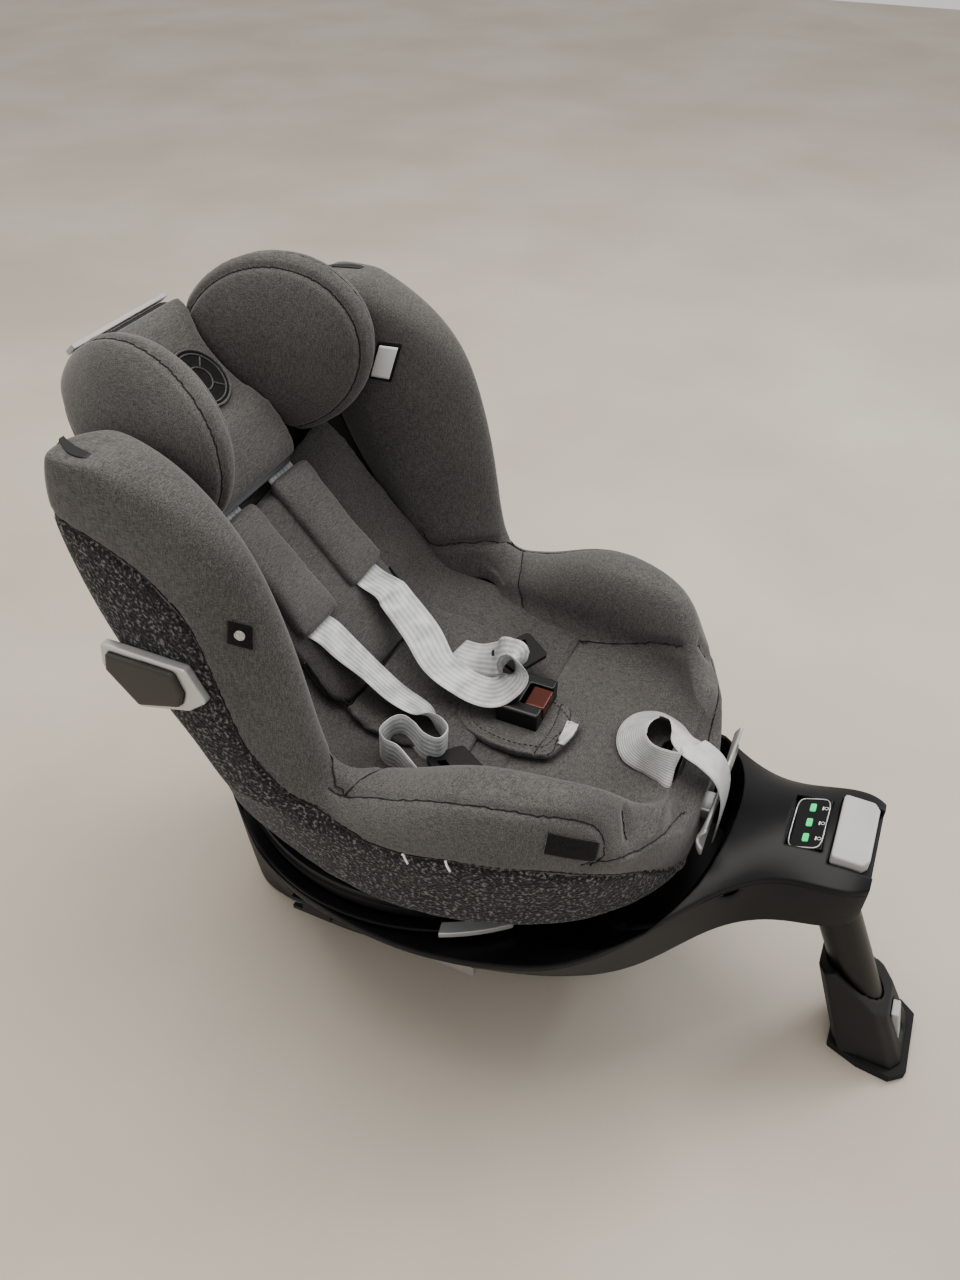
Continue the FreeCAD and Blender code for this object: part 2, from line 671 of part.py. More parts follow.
def head_wing(grow=0.0):
    """The ellipsoid a headrest wing is cut from, toed out towards its front."""
    stretch = FreeCAD.Matrix()
    stretch.scale(V(*[a + grow for a in WING_AXES]))
    wing = Part.makeSphere(1).transformGeometry(stretch)
    turn = FreeCAD.Rotation(V(0, 0, 1), WING_TOE_OUT).multiply(FreeCAD.Rotation(V(1, 0, 0), -WING_PITCH))
    wing.Placement = FreeCAD.Placement(V(*WING_CENTRE), turn)
    return wing


def make_headrest():
    near, far = HEAD_SHELL
    plate = back_slab(140, *HEAD_SPAN, near, far, 20)
    slot = back_slab(90, HEAD_SPAN[1] - 38, HEAD_SPAN[1] - 10, near - 5, far + 5, 8)
    cheek = head_wing(-5).common(back_slab(500, 60, 500, near, far))
    cheeks = [mirrored(cheek, side) for _, side in SIDES]
    wing = head_wing().cut(back_slab(500, -60, 560, near - 0.3, 200))
    guides = []
    for _, side in SIDES:
        guide = Part.makeBox(18, 30, 14, V(-9, 0, -13.5))
        guide.Placement = back_plane(far, HEAD_SPAN[0] + 4, side * RAIL_X)
        bore = Part.makeCylinder(dim("rail_rad") + 0.08, 200)
        bore.Placement = up_the_back(RAIL_DEPTH, 120, side * RAIL_X)
        guides.append(guide.cut(bore))
    shell = plate.cut(slot).fuse([*cheeks, *guides])
    feature("headrest_shell", shell.removeSplitter())
    profile = [(176, 472), (181, 492), (200, 523), (237, 554), (283, 607)]
    back = [BACK_FOOT + OUTWARD * (near - 0.4) + RISE * s for s in (HEAD_SPAN[1], HEAD_SPAN[0] + 2)]
    outline = [*profile, *[(p.y, p.z) for p in back]]
    beside = head_wing(0.3)
    feature("headrest_pad", prism_x(outline, -62, 62).cut([mirrored(beside, side) for _, side in SIDES]))
    feature("headrest_wings", both(wing))
    feature("headrest_top_strip", back_slab(120, HEAD_SPAN[1] + 1.2, HEAD_SPAN[1] + 5, near - 5, far))
    handle = back_slab(84, HEAD_SPAN[1] - 36, HEAD_SPAN[1] - 26, near + 1, far - 1, 4.5)
    feature("headrest_grip", handle)
    pads = []
    for _, side in SIDES:
        pad = Part.makeBox(60, 126, 12, V(-30, 0, 0.8))
        pad = rounded(pad, 8, V(0, 0, 1))
        pad.Placement = back_plane(0, 36, side * 42)
        pads.append(pad)
    feature("shoulder_pads", Part.makeCompound(pads))


# ---------------------------------------------------------------- harness
def ribbon(centre, width, flat):
    """A webbing strip along a (x, y, z) centre line; flat is the direction across its width."""
    thick = dim("webbing_thick")
    solids = []
    for a, b in zip(centre, centre[1:]):
        run = b - a
        across = V(*flat)
        across = across - run * (across.dot(run) / run.dot(run))
        across.normalize()
        up = run.cross(across)
        up.normalize()
        corner = a - across * (width / 2) - up * (thick / 2)
        strip = Part.makeBox(width, thick, run.Length)
        strip.Placement = FreeCAD.Placement(corner, FreeCAD.Rotation(across, up, run, "XYZ"))
        solids.append(strip)
    whole = solids[0]
    for strip in solids[1:]:
        whole = whole.fuse(strip)
    return whole.removeSplitter()


def make_harness():
    body = block((-27, -106, 296), (27, -66, 318))
    window = block((-14, -108, 303), (14, -84, 330))
    feature("buckle_body", rounded(body, 3, V(0, 1, 0)).cut(window))
    feature("buckle_button", block((-13, -107, 303.5), (13, -88, 316.5)))
    feature("crotch_strap", block((-19, -99, 230), (19, -97, 295.6)))
    slab = block((-42, -142, 289), (42, -50, 295.4))
    slot = block((-21, -101, 280), (21, -95, 300))
    pad = rounded(slab, 14, V(0, 0, 1)).cut(slot)
    feature("crotch_pad", pad)
    tongue = rounded(prism_z([(-18, -26), (22, -26), (30, 10), (-18, 12)], 0, 4), 4, V(0, 0, 1))
    tongue = tongue.cut(prism_z([(-11, -2), (17, -3), (20, 4), (-11, 5)], -1, 5))
    left = tongue.copy()
    left.Placement = turned(V(0, 0, 1), -25, V(44, -52, 318))
    feature("tongue_left", left)
    right = tongue.copy()
    right.Placement = turned(V(0, 0, 1), 60, V(-104, -60, 298))
    feature("tongue_right", right)
    width = dim("webbing_width")
    left_route = [V(45, 89, 366), V(45, 60, 340), V(46, 10, 312), V(46, -36, 306), V(48, -52, 314)]
    hip = [V(102, -44, 292), V(74, -46, 306), V(56, -48, 312)]
    left = [ribbon(left_route, width, (1, 0, 0)), ribbon(hip, 30, (0, 1, 0.1))]
    feature("webbing_left", Part.makeCompound(left))
    right_route = [V(-45, 89, 366), V(-50, 56, 338), V(-66, 8, 314), V(-92, -14, 304), V(-112, -14, 300)]
    feature("webbing_right", ribbon(right_route, width, (1, 0.4, 0)))
    tail = [V(0, -222, 284), V(0, -222, 294), V(0, -200, 303), V(0, -187, 317), V(0, -191, 333), V(0, -206, 327), V(0, -234, 291),
            V(2, -262, 281), V(4, -276, 276), V(5, -276, 214)]
    feature("adjuster_strap", ribbon(tail, 34, (1, 0, 0)))
    case = block((-20, -231, 262), (20, -217, 291))
    slot = block((-18, -224.5, 280), (18, -219.5, 300))
    pocket = block((-12.4, -230, 284), (12.4, -225.6, 292))
    feature("adjuster_case", case.cut([slot, pocket]))
    feature("adjuster_button", block((-12, -229.6, 287.5), (12, -226, 293)))


# ---------------------------------------------------------------- side protectors and recline handle
SHIELD = [(187, 447), (191, 424), (162, 389), (112, 404), (94, 419), (108, 448)]


def make_side_protectors():
    half = dim("seat_half")
    for name, side in SIDES:
        bezel = prism_x(SHIELD, half + 0.6, half + 10)
        cap = prism_x([(181, 441), (185, 424), (160, 395), (118, 409), (112, 424), (118, 443)], half + 5, half + 14)
        feature("shield_bezel_" + name, mirrored(bezel.cut(cap), side))
        feature("shield_cap_" + name, mirrored(cap, side))


def make_recline_handle():
    half = [(0, 238), (30, 238), (58, 248), (67, 264), (63, 291), (42, 283), (16, 263), (0, 261)]
    outline = [*half, *[(-x, z) for x, z in reversed(half[1:-1])]]
    bar = face_of([V(x, -266.5, z) for x, z in outline]).extrude(V(0, -7, 0))
    feature("recline_handle", bar.fuse(block((-12, -267, 242), (12, -240, 255))).removeSplitter())


make_base()
make_bridge_fittings()
make_base_fittings()
make_arms()
make_leg()
make_foot()
make_turntable()
make_seat_shells()
make_wings()
make_seat_covers()
make_back()
make_headrest()
make_harness()
make_side_protectors()
make_recline_handle()

# ---------------------------------------------------------------- checks and files
doc.recompute()
for obj in doc.Objects:
    bad = {"Invalid", "Error"} & set(obj.State)
    if bad:
        raise SystemExit(f"{obj.Label} is {bad}")
for obj in pieces:
    shape = obj.Shape
    if shape.isNull() or not shape.isValid() or not shape.Solids:
        raise SystemExit(f"{obj.Label} has no valid solid")
    shape.exportStep(os.path.join(OUT, obj.Label + ".step"))
    print(f"{obj.Label}: {len(shape.Solids)} solid(s), {shape.Volume / 1000:.0f} cm3")
print(len(pieces), "sub-parts")
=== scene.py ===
"""Blender scene of a rotating child car seat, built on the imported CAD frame.

Metres, +Z up, origin on the floor under the turntable's axis; the seat faces -Y and its left side is +X.
"""
import math
import bmesh
import bpy
import numpy as np
from mathutils import Matrix, Vector
from mathutils.bvhtree import BVHTree


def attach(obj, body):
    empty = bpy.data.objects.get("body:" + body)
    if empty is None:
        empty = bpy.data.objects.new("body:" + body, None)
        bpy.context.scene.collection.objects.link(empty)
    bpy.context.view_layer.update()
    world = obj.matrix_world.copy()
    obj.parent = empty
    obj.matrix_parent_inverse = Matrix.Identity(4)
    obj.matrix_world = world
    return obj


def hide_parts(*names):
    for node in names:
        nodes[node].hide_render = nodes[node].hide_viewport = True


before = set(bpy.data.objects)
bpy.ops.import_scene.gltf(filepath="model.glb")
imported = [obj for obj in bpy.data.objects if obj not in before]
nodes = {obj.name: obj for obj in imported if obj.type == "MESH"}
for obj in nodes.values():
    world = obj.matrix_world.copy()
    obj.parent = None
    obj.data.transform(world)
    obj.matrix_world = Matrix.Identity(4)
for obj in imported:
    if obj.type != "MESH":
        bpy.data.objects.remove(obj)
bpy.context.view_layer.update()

scene = bpy.context.scene


def mm(x, y, z):
    return Vector((x, y, z)) / 1000


# ---------------------------------------------------------------- materials
def new_material(name):
    material = bpy.data.materials.new(name)
    material.use_nodes = True
    tree = material.node_tree
    tree.nodes.clear()
    return material, tree


def add(tree, kind, inputs=None, **settings):
    """A shader node; an input's value may be a number, a colour or another node's socket."""
    made = tree.nodes.new("ShaderNode" + kind)
    for key, value in settings.items():
        setattr(made, key, value)
    for key, value in (inputs or {}).items():
        if isinstance(value, bpy.types.NodeSocket):
            tree.links.new(value, made.inputs[key])
        else:
            made.inputs[key].default_value = value
    return made


def position(tree, scale=(1, 1, 1)):
    coords = add(tree, "TexCoord").outputs["Object"]
    return add(tree, "Mapping", {"Vector": coords, "Scale": scale}).outputs["Vector"]


def noise(tree, scale, detail=2.0, vector=None):
    vector = vector or position(tree)
    return add(tree, "TexNoise", {"Vector": vector, "Scale": scale, "Detail": detail}).outputs["Fac"]


def maths(tree, operation, a, b=0.0):
    return add(tree, "Math", {0: a, 1: b}, operation=operation).outputs[0]


def ramp(tree, factor, stops):
    made = add(tree, "ValToRGB", {"Fac": factor})
    elements = made.color_ramp.elements
    for spot, (place, colour) in enumerate(stops):
        element = elements[spot] if spot < 2 else elements.new(place)
        element.position = place
        element.color = (*colour, 1)
    return made.outputs["Color"]


def finish_material(tree, surface):
    tree.links.new(surface.outputs[0], add(tree, "OutputMaterial").inputs["Surface"])


THREAD = 1500.0
SLUB = 160.0


def weave_height(tree):
    """Slubby threads in three directions, so that any surface shows two of them crossing."""
    total = None
    for scale in ((SLUB, THREAD, THREAD), (THREAD, SLUB, THREAD), (THREAD, THREAD, SLUB)):
        threads = noise(tree, 1.0, 1.0, position(tree, scale))
        total = threads if total is None else maths(tree, "ADD", total, threads)
    return maths(tree, "MULTIPLY", total, 1 / 3)


def melange(name, dark, light, bump=0.35):
    material, tree = new_material(name)
    threads = weave_height(tree)
    clouds = noise(tree, 9.0, 3.0)
    tone = maths(tree, "ADD", threads, maths(tree, "MULTIPLY", maths(tree, "SUBTRACT", clouds, 0.5), 0.16))
    middle = tuple((a + b) / 2 for a, b in zip(dark, light))
    colour = ramp(tree, tone, [(0.38, dark), (0.62, light), (0.5, middle)])
    normal = add(tree, "Bump", {"Height": threads, "Strength": bump, "Distance": 0.0006}).outputs["Normal"]
    surface = add(tree, "BsdfPrincipled", {"Base Color": colour, "Roughness": 0.92, "Normal": normal,
                                           "Sheen Weight": 0.35, "Sheen Roughness": 0.4, "Specular IOR Level": 0.25})
    surface.inputs["Sheen Tint"].default_value = (0.75, 0.74, 0.73, 1)
    finish_material(tree, surface)
    return material


def boucle(name):
    material, tree = new_material(name)
    loops = add(tree, "TexVoronoi", {"Vector": position(tree), "Scale": 420.0, "Randomness": 1.0}).outputs["Distance"]
    flecks = noise(tree, 330.0, 2.0)
    colour = ramp(tree, flecks, [(0.42, (0.010, 0.010, 0.011)), (0.66, (0.17, 0.165, 0.165)), (0.56, (0.035, 0.034, 0.035))])
    height = maths(tree, "ADD", maths(tree, "MULTIPLY", loops, -0.6), flecks)
    normal = add(tree, "Bump", {"Height": height, "Strength": 0.8, "Distance": 0.0012}).outputs["Normal"]
    finish_material(tree, add(tree, "BsdfPrincipled", {"Base Color": colour, "Roughness": 0.95, "Normal": normal,
                                                       "Sheen Weight": 0.2, "Specular IOR Level": 0.2}))
    return material


def plastic(name, colour, roughness, grain=0.12, edge=0.0012, metallic=0.0, gloss=0.5, grain_scale=1400.0):
    """Moulded plastic or metal: fine grain, uneven gloss and softened edges."""
    material, tree = new_material(name)
    fine = noise(tree, grain_scale, 1.0)
    patches = noise(tree, 14.0, 3.0)
    rough = maths(tree, "ADD", maths(tree, "MULTIPLY", patches, 0.10), roughness - 0.05)
    light = tuple(min(1.0, c * 1.15 + 0.001) for c in colour)
    tint = ramp(tree, patches, [(0.3, colour), (0.75, light)])
    soft = add(tree, "Bevel", {"Radius": edge}, samples=4).outputs["Normal"]
    normal = add(tree, "Bump", {"Height": fine, "Strength": grain, "Distance": 0.0002, "Normal": soft}).outputs["Normal"]
    finish_material(tree, add(tree, "BsdfPrincipled", {"Base Color": tint, "Roughness": rough, "Normal": normal,
                                                       "Metallic": metallic, "Specular IOR Level": gloss}))
    return material


def ribbed_webbing(name, dark, light, ribs=7.0, roughness=0.38):
    """Polyester webbing; u runs across the strap and v along it, in metres."""
    material, tree = new_material(name)
    uv = add(tree, "TexCoord").outputs["UV"]
    split = add(tree, "SeparateXYZ", {"Vector": uv})
    across = maths(tree, "SINE", maths(tree, "MULTIPLY", split.outputs["X"], ribs * 2 * math.pi))
    along = maths(tree, "SINE", maths(tree, "MULTIPLY", split.outputs["Y"], 2 * math.pi / 0.0016))
    blotches = noise(tree, 60.0, 3.0)
    height = maths(tree, "ADD", maths(tree, "MULTIPLY", across, 0.5), maths(tree, "MULTIPLY", along, 0.16))
    # colour: painted shade, darker in the hollows between ribs and threads and lighter on their crowns, plus random
    # lighter and darker blotches
    tone = maths(tree, "ADD", maths(tree, "MULTIPLY", height, 0.22), blotches)
    colour = ramp(tree, tone, [(0.25, dark), (0.7, light)])
    normal = add(tree, "Bump", {"Height": height, "Strength": 0.55, "Distance": 0.0005}).outputs["Normal"]
    finish_material(tree, add(tree, "BsdfPrincipled", {"Base Color": colour, "Roughness": roughness, "Normal": normal,
                                                       "Sheen Weight": 0.3, "Anisotropic": 0.5}))
    return material


def glowing(name, colour, strength):
    material, tree = new_material(name)
    flicker = noise(tree, 300.0)
    tint = ramp(tree, flicker, [(0.3, tuple(c * 0.8 for c in colour)), (0.7, colour)])
    finish_material(tree, add(tree, "BsdfPrincipled", {"Base Color": tint, "Roughness": 0.25, "Emission Color": tint,
                                                       "Emission Strength": strength}))
    return material


GREY = melange("grey_melange", (0.058, 0.056, 0.055), (0.160, 0.152, 0.148))
# a darker copy of the grey melange: painted shade for the fabric lying deeper in the seat
GREY_PAINTED_SHADE = melange("grey_melange_painted_shade", (0.048, 0.046, 0.046), (0.138, 0.131, 0.128))
DARK = boucle("dark_boucle")
THREAD_DARK = melange("seam_thread", (0.012, 0.012, 0.012), (0.040, 0.038, 0.038), 0.2)
# near-black cord for the lower edge of the back inlay: painted shadow of the gap under that edge
INLAY_EDGE_SHADOW = melange("inlay_edge_painted_shadow", (0.006, 0.006, 0.007), (0.022, 0.021, 0.021), 0.2)
WEBBING = ribbed_webbing("silver_webbing", (0.30, 0.31, 0.315), (0.60, 0.61, 0.61))
SATIN_STRAP = ribbed_webbing("satin_strap", (0.42, 0.42, 0.42), (0.62, 0.62, 0.615), 14.0, 0.26)
BLACK = plastic("base_black", (0.0040, 0.0044, 0.0062), 0.36, 0.10, 0.003, 0.0, 0.32)
UNDER = plastic("base_under", (0.011, 0.012, 0.014), 0.48, 0.2, 0.003, 0.0, 0.35)
SHELL = plastic("shell_black", (0.010, 0.010, 0.012), 0.45)
FOOT = plastic("foot_grey", (0.017, 0.017, 0.018), 0.50, 0.25, 0.002, 0.0, 0.4)
TUBE = plastic("leg_black", (0.006, 0.006, 0.007), 0.33, 0.06)
RUBBER = plastic("rubber_black", (0.012, 0.012, 0.013), 0.8, 0.4)
GLOSS = plastic("display_gloss", (0.004, 0.004, 0.005), 0.10, 0.0, 0.0008)
LIGHT_GREY = plastic("light_grey", (0.42, 0.42, 0.415), 0.40, 0.15, 0.0015)
SILVER = plastic("silver_lacquer", (0.58, 0.58, 0.575), 0.30, 0.06, 0.0015, 0.55)
CAP = plastic("shield_cap", (0.050, 0.046, 0.043), 0.42, 0.12, 0.0015)
STEEL = plastic("zinc_steel", (0.55, 0.55, 0.56), 0.35, 0.1, 0.0006, 1.0)
BUCKLE = plastic("buckle_black", (0.008, 0.008, 0.009), 0.28, 0.05, 0.0012)
BUCKLE_RED = plastic("buckle_copper", (0.085, 0.022, 0.014), 0.22, 0.05, 0.001, 0.3)
EMBLEM_THREAD = melange("emblem_thread", (0.07, 0.07, 0.07), (0.16, 0.155, 0.15), 0.3)
WHITE = plastic("white_print", (0.75, 0.75, 0.74), 0.55, 0.1, 0.0003)
LABEL = melange("black_label", (0.006, 0.006, 0.007), (0.020, 0.020, 0.021), 0.3)
LABEL_THREAD = melange("label_thread", (0.30, 0.30, 0.29), (0.62, 0.61, 0.60), 0.3)
YELLOW = melange("yellow_tag", (0.75, 0.55, 0.04), (0.90, 0.72, 0.10), 0.2)
GREEN = glowing("lamp_green", (0.06, 0.62, 0.22), 0.55)
ROLLER = plastic("roller_white", (0.70, 0.70, 0.68), 0.4)

NODE_LOOK = {
    "base_lower_shell": UNDER, "base_top_cover": BLACK, "display_panel": GLOSS, "indicator_lamps": GREEN,
    "front_release_button": LIGHT_GREY, "floor_pad": RUBBER, "steel_floor_plate": STEEL, "case_screws": STEEL,
    "slew_rollers": ROLLER, "connector_button_left": LIGHT_GREY, "connector_button_right": LIGHT_GREY,
    "anchor_arms": STEEL, "connector_cases": SHELL, "anchor_jaws": STEEL, "leg_tube": TUBE, "leg_top_fitting": SHELL,
    "leg_pivot_pin": STEEL, "leg_stay": STEEL, "foot_case": FOOT, "foot_sole": RUBBER, "foot_button": LIGHT_GREY,
    "turntable_cradle": BLACK, "turntable_ring": BLACK, "turn_button_left": SILVER, "turn_button_right": SILVER,
    "hull_shell": SHELL, "tub_shell": SHELL, "back_shell": SHELL, "headrest_rails": STEEL, "headrest_shell": SHELL,
    "headrest_top_strip": LIGHT_GREY, "headrest_grip": SHELL, "adjuster_case": BUCKLE, "adjuster_button": SILVER,
    "shield_bezel_left": SILVER, "shield_bezel_right": SILVER, "shield_cap_left": CAP, "shield_cap_right": CAP,
    # the seat foam takes the darker grey, which is painted shade
    "crotch_strap": WEBBING, "seat_foam": GREY_PAINTED_SHADE, "buckle_body": BUCKLE, "buckle_button": BUCKLE_RED,
    "tongue_left": BUCKLE, "tongue_right": BUCKLE,
}
for name, look in NODE_LOOK.items():
    nodes[name].data.materials.clear()
    nodes[name].data.materials.append(look)


# ---------------------------------------------------------------- mesh helpers
def piece(name, points, faces, look, smooth=True):
    mesh = bpy.data.meshes.new(name)
    mesh.from_pydata([tuple(p) for p in points], [], faces)
    mesh.update()
    if smooth:
        mesh.polygons.foreach_set("use_smooth", [True] * len(mesh.polygons))
    obj = bpy.data.objects.new(name, mesh)
    scene.collection.objects.link(obj)
    mesh.materials.append(look)
    return obj


def apply_modifiers(obj):
    """The object's evaluated mesh becomes its own, with no modifier left."""
    graph = bpy.context.evaluated_depsgraph_get()
    mesh = bpy.data.meshes.new_from_object(obj.evaluated_get(graph))
    obj.modifiers.clear()
    obj.data = mesh
    mesh.polygons.foreach_set("use_smooth", [True] * len(mesh.polygons))


def vertices_of(obj):
    flat = np.zeros(len(obj.data.vertices) * 3)
    obj.data.vertices.foreach_get("co", flat)
    return flat.reshape(-1, 3)


def set_vertices(obj, points):
    obj.data.vertices.foreach_set("co", np.asarray(points).ravel())
    obj.data.update()


def smooth_path(points, steps=10):
    """A Catmull-Rom curve through the points."""
    points = [Vector(p) for p in points]
    ends = [points[0] * 2 - points[1], *points, points[-1] * 2 - points[-2]]
    path = []
    for i in range(len(points) - 1):
        a, b, c, d = ends[i:i + 4]
        for step in range(steps):
            t = step / steps
            path.append(0.5 * (2 * b + (c - a) * t + (2 * a - 5 * b + 4 * c - d) * t * t
                               + (3 * b - a - 3 * c + d) * t ** 3))
    return [*path, points[-1]]


def surface_tree(objects):
    points, faces = [], []
    for obj in objects:
        start = len(points)
        points += [v.co.copy() for v in obj.data.vertices]
        faces += [[i + start for i in p.vertices] for p in obj.data.polygons]
    return BVHTree.FromPolygons(points, faces)


def snapped(guide, targets, steps=10, lift=0.0):
    """The guide line laid on the nearest surface: points and the surface's normals there."""
    tree = surface_tree(targets)
    laid = []
    for point in smooth_path(guide, steps):
        spot, normal, _, _ = tree.find_nearest(point)
        laid.append((spot + normal * lift, normal))
    return laid


def groove(obj, line, width=0.006, depth=0.0022):
    """Presses a sewn channel into obj along the line."""
    points = vertices_of(obj)
    normals = np.zeros_like(points).ravel()
    obj.data.vertices.foreach_get("normal", normals)
    normals = normals.reshape(-1, 3)
    path = np.array([p for p, _ in line])
    gap = np.full(len(points), 1.0)
    near = np.all((points > path.min(0) - width) & (points < path.max(0) + width), axis=1)
    if not near.any():
        return
    gap[near] = np.min(np.linalg.norm(points[near, None] - path[None], axis=2), axis=1)
    share = np.clip(1 - gap / width, 0, 1)
    set_vertices(obj, points - normals * (depth * share ** 2 * (3 - 2 * share))[:, None])


def tube(name, path, radius, look, sides=6, closed=False):
    """A round cord along a path."""
    points, faces = [], []
    count = len(path)
    up = Vector((0.3, 0.2, 1)).normalized()
    for i, spot in enumerate(path):
        ahead = path[(i + 1) % count] if closed or i + 1 < count else spot
        behind = path[i - 1] if closed or i else spot
        run = (ahead - behind).normalized()
        side = run.cross(up).normalized() if run.cross(up).length > 0.1 else run.cross(Vector((1, 0, 0))).normalized()
        other = run.cross(side)
        for k in range(sides):
            turn = 2 * math.pi * k / sides
            points.append(spot + (side * math.cos(turn) + other * math.sin(turn)) * radius)
    for i in range(count if closed else count - 1):
        for k in range(sides):
            a, b = i * sides + k, i * sides + (k + 1) % sides
            c, d = (i + 1) % count * sides + (k + 1) % sides, (i + 1) % count * sides + k
            faces.append([a, b, c, d])
    if not closed:
        faces.append(list(range(sides))[::-1])
        faces.append([(count - 1) * sides + k for k in range(sides)])
    return piece(name, points, faces, look)


def seam(name, guide, targets, body, sunk=True, radius=0.0007, look=None, width=0.006, depth=0.0022):
    """A sewn seam: a groove in the fabric and a dark line in it, or piping that stands proud."""
    line = snapped(guide, targets)
    if sunk:
        for obj in targets:
            groove(obj, line, width, depth)
        line = snapped([p for p, _ in line][::3] + [line[-1][0]], targets, 3, -radius * 0.3)
    made = tube(name, [p + n * (0 if sunk else radius * 0.6) for p, n in line], radius, look or THREAD_DARK)
    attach(made, body)
    return made


def stitches(name, guide, targets, body, look=None, length=0.0028, gap=0.0022, radius=0.00035):
    """A row of short raised stitches along a line on the surface."""
    line = snapped(guide, targets, 24, 0.0003)
    points, faces = [], []
    walked, start = 0.0, None
    for (a, na), (b, nb) in zip(line, line[1:]):
        if walked % (length + gap) < length:
            start = start or (a, na)
        elif start:
            p, n = start
            run = (a - p)
            if run.length > 0.0004:
                side = run.normalized().cross(n) * radius
                lift = n * radius * 1.6
                base = len(points)
                points += [p - side, p + side, p + lift, a - side, a + side, a + lift]
                faces += [[base + i for i in f] for f in ((0, 2, 5, 3), (2, 1, 4, 5), (1, 0, 3, 4), (0, 1, 2), (3, 5, 4))]
            start = None
        walked += (b - a).length
    made = piece(name, points, faces, look or LABEL_THREAD, False)
    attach(made, body)
    return made


def ribbon(name, path, across, width, look, body, thick=0.0016, replaced=(), steps=10):
    """Webbing along a path; across gives the direction of its width at each point of the path."""
    line = smooth_path(path, steps)
    sides = smooth_path([Vector(a) for a in across], steps)
    profile = [(-1.0, 0.0), (-0.97, 0.8), (-0.8, 1.0), (-0.4, 0.92), (0, 1.0), (0.4, 0.92), (0.8, 1.0), (0.97, 0.8),
               (1.0, 0.0), (0.97, -0.8), (0.8, -1.0), (0, -0.95), (-0.8, -1.0), (-0.97, -0.8)]
    points, faces, uvs = [], [], []
    length = 0.0
    for i, spot in enumerate(line):
        ahead, behind = line[min(i + 1, len(line) - 1)], line[max(i - 1, 0)]
        run = (ahead - behind).normalized()
        side = sides[i] - run * sides[i].dot(run)
        side.normalize()
        up = run.cross(side)
        length += (spot - behind).length if i else 0.0
        for u, v in profile:
            points.append(spot + side * (u * width / 2) + up * (v * thick / 2))
            uvs.append(((u + 1) / 2, length))
    ring = len(profile)
    for i in range(len(line) - 1):
        for k in range(ring):
            a, b = i * ring + k, i * ring + (k + 1) % ring
            faces.append([a, a + ring, b + ring, b])
    faces.append(list(range(ring)))
    faces.append([(len(line) - 1) * ring + k for k in range(ring)][::-1])
    made = piece(name, points, faces, look)
    layer = made.data.uv_layers.new(name="strap")
    for loop in made.data.loops:
        layer.data[loop.index].uv = uvs[loop.vertex_index]
    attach(made, body)
    if replaced:
        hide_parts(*replaced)
    return made


def rounded_box(name, size, centre, look, turn=None, bevel=0.002, segments=3, body=None):
    mesh = bpy.data.meshes.new(name)
    form = bmesh.new()
    bmesh.ops.create_cube(form, size=1.0)
    bmesh.ops.scale(form, vec=size, verts=form.verts)
    bmesh.ops.bevel(form, geom=form.edges[:], offset=bevel, segments=segments, profile=0.6, affect="EDGES")
    form.to_mesh(mesh)
    form.free()
    mesh.transform(Matrix.Translation(centre) @ (turn or Matrix.Identity(4)))
    mesh.polygons.foreach_set("use_smooth", [True] * len(mesh.polygons))
    obj = bpy.data.objects.new(name, mesh)
    scene.collection.objects.link(obj)
    mesh.materials.append(look)
    if body:
        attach(obj, body)
    return obj


# ---------------------------------------------------------------- floor, light and camera
def make_stage():
    floor = piece("floor", [(-6, -6, 0), (6, -6, 0), (6, 6, 0), (-6, 6, 0)], [[0, 1, 2, 3]], None, False)
    material, tree = new_material("pale_floor")
    patches = noise(tree, 2.2, 5.0)
    colour = ramp(tree, patches, [(0.35, (0.50, 0.45, 0.39)), (0.7, (0.58, 0.53, 0.46))])
    normal = add(tree, "Bump", {"Height": noise(tree, 60.0, 4.0), "Strength": 0.05, "Distance": 0.002}).outputs["Normal"]
    finish_material(tree, add(tree, "BsdfPrincipled", {"Base Color": colour, "Roughness": 0.6, "Normal": normal}))
    floor.data.materials.clear()
    floor.data.materials.append(material)
    world = bpy.data.worlds.new("room")
    world.use_nodes = True
    world.node_tree.nodes["Background"].inputs["Color"].default_value = (1.0, 0.985, 0.96, 1)
    world.node_tree.nodes["Background"].inputs["Strength"].default_value = 0.62
    scene.world = world
    lamps = [("ceiling", (0.3, 0.3, 2.7), (2.4, 1.6), 46, (1.0, 0.95, 0.88)),
             ("window", (1.9, -1.6, 2.0), (0.9, 1.6), 26, (0.92, 0.96, 1.0)),
             ("fill", (-2.2, -1.0, 1.8), (1.2, 1.6), 10, (1.0, 0.98, 0.95))]
    for name, where, size, power, colour in lamps:
        data = bpy.data.lights.new(name, "AREA")
        data.shape = "RECTANGLE"
        data.size, data.size_y = size
        data.energy = power
        data.color = colour
        lamp = bpy.data.objects.new(name, data)
        lamp.location = where
        lamp.rotation_euler = (Vector((0, 0, 0.3)) - Vector(where)).to_track_quat("-Z", "Y").to_euler()
        scene.collection.objects.link(lamp)
    scene.view_settings.view_transform = "AgX"
    scene.view_settings.look = "AgX - Medium High Contrast"


def make_camera():
    data = bpy.data.cameras.new("camera")
    data.lens = 28.85
    data.sensor_width = 36
    camera = bpy.data.objects.new("camera", data)
    scene.collection.objects.link(camera)
    down = math.radians(40.54)
    look = Vector((0.9121 * math.cos(down), 0.4098 * math.cos(down), -math.sin(down)))
    turn = look.to_track_quat("-Z", "Y").to_matrix().to_4x4() @ Matrix.Rotation(math.radians(0.29), 4, "Z")
    camera.matrix_world = Matrix.Translation((-0.6399, -0.3256, 0.9639)) @ turn
    scene.camera = camera


# ---------------------------------------------------------------- padded covers
VOXEL = 0.005
COVER_VOXEL = 0.0042
CLOSING = 0.014
COVER_NODES = ["wing_bolsters", "thigh_bolsters", "front_apron", "seat_cushion", "wing_panels", "side_panels"]
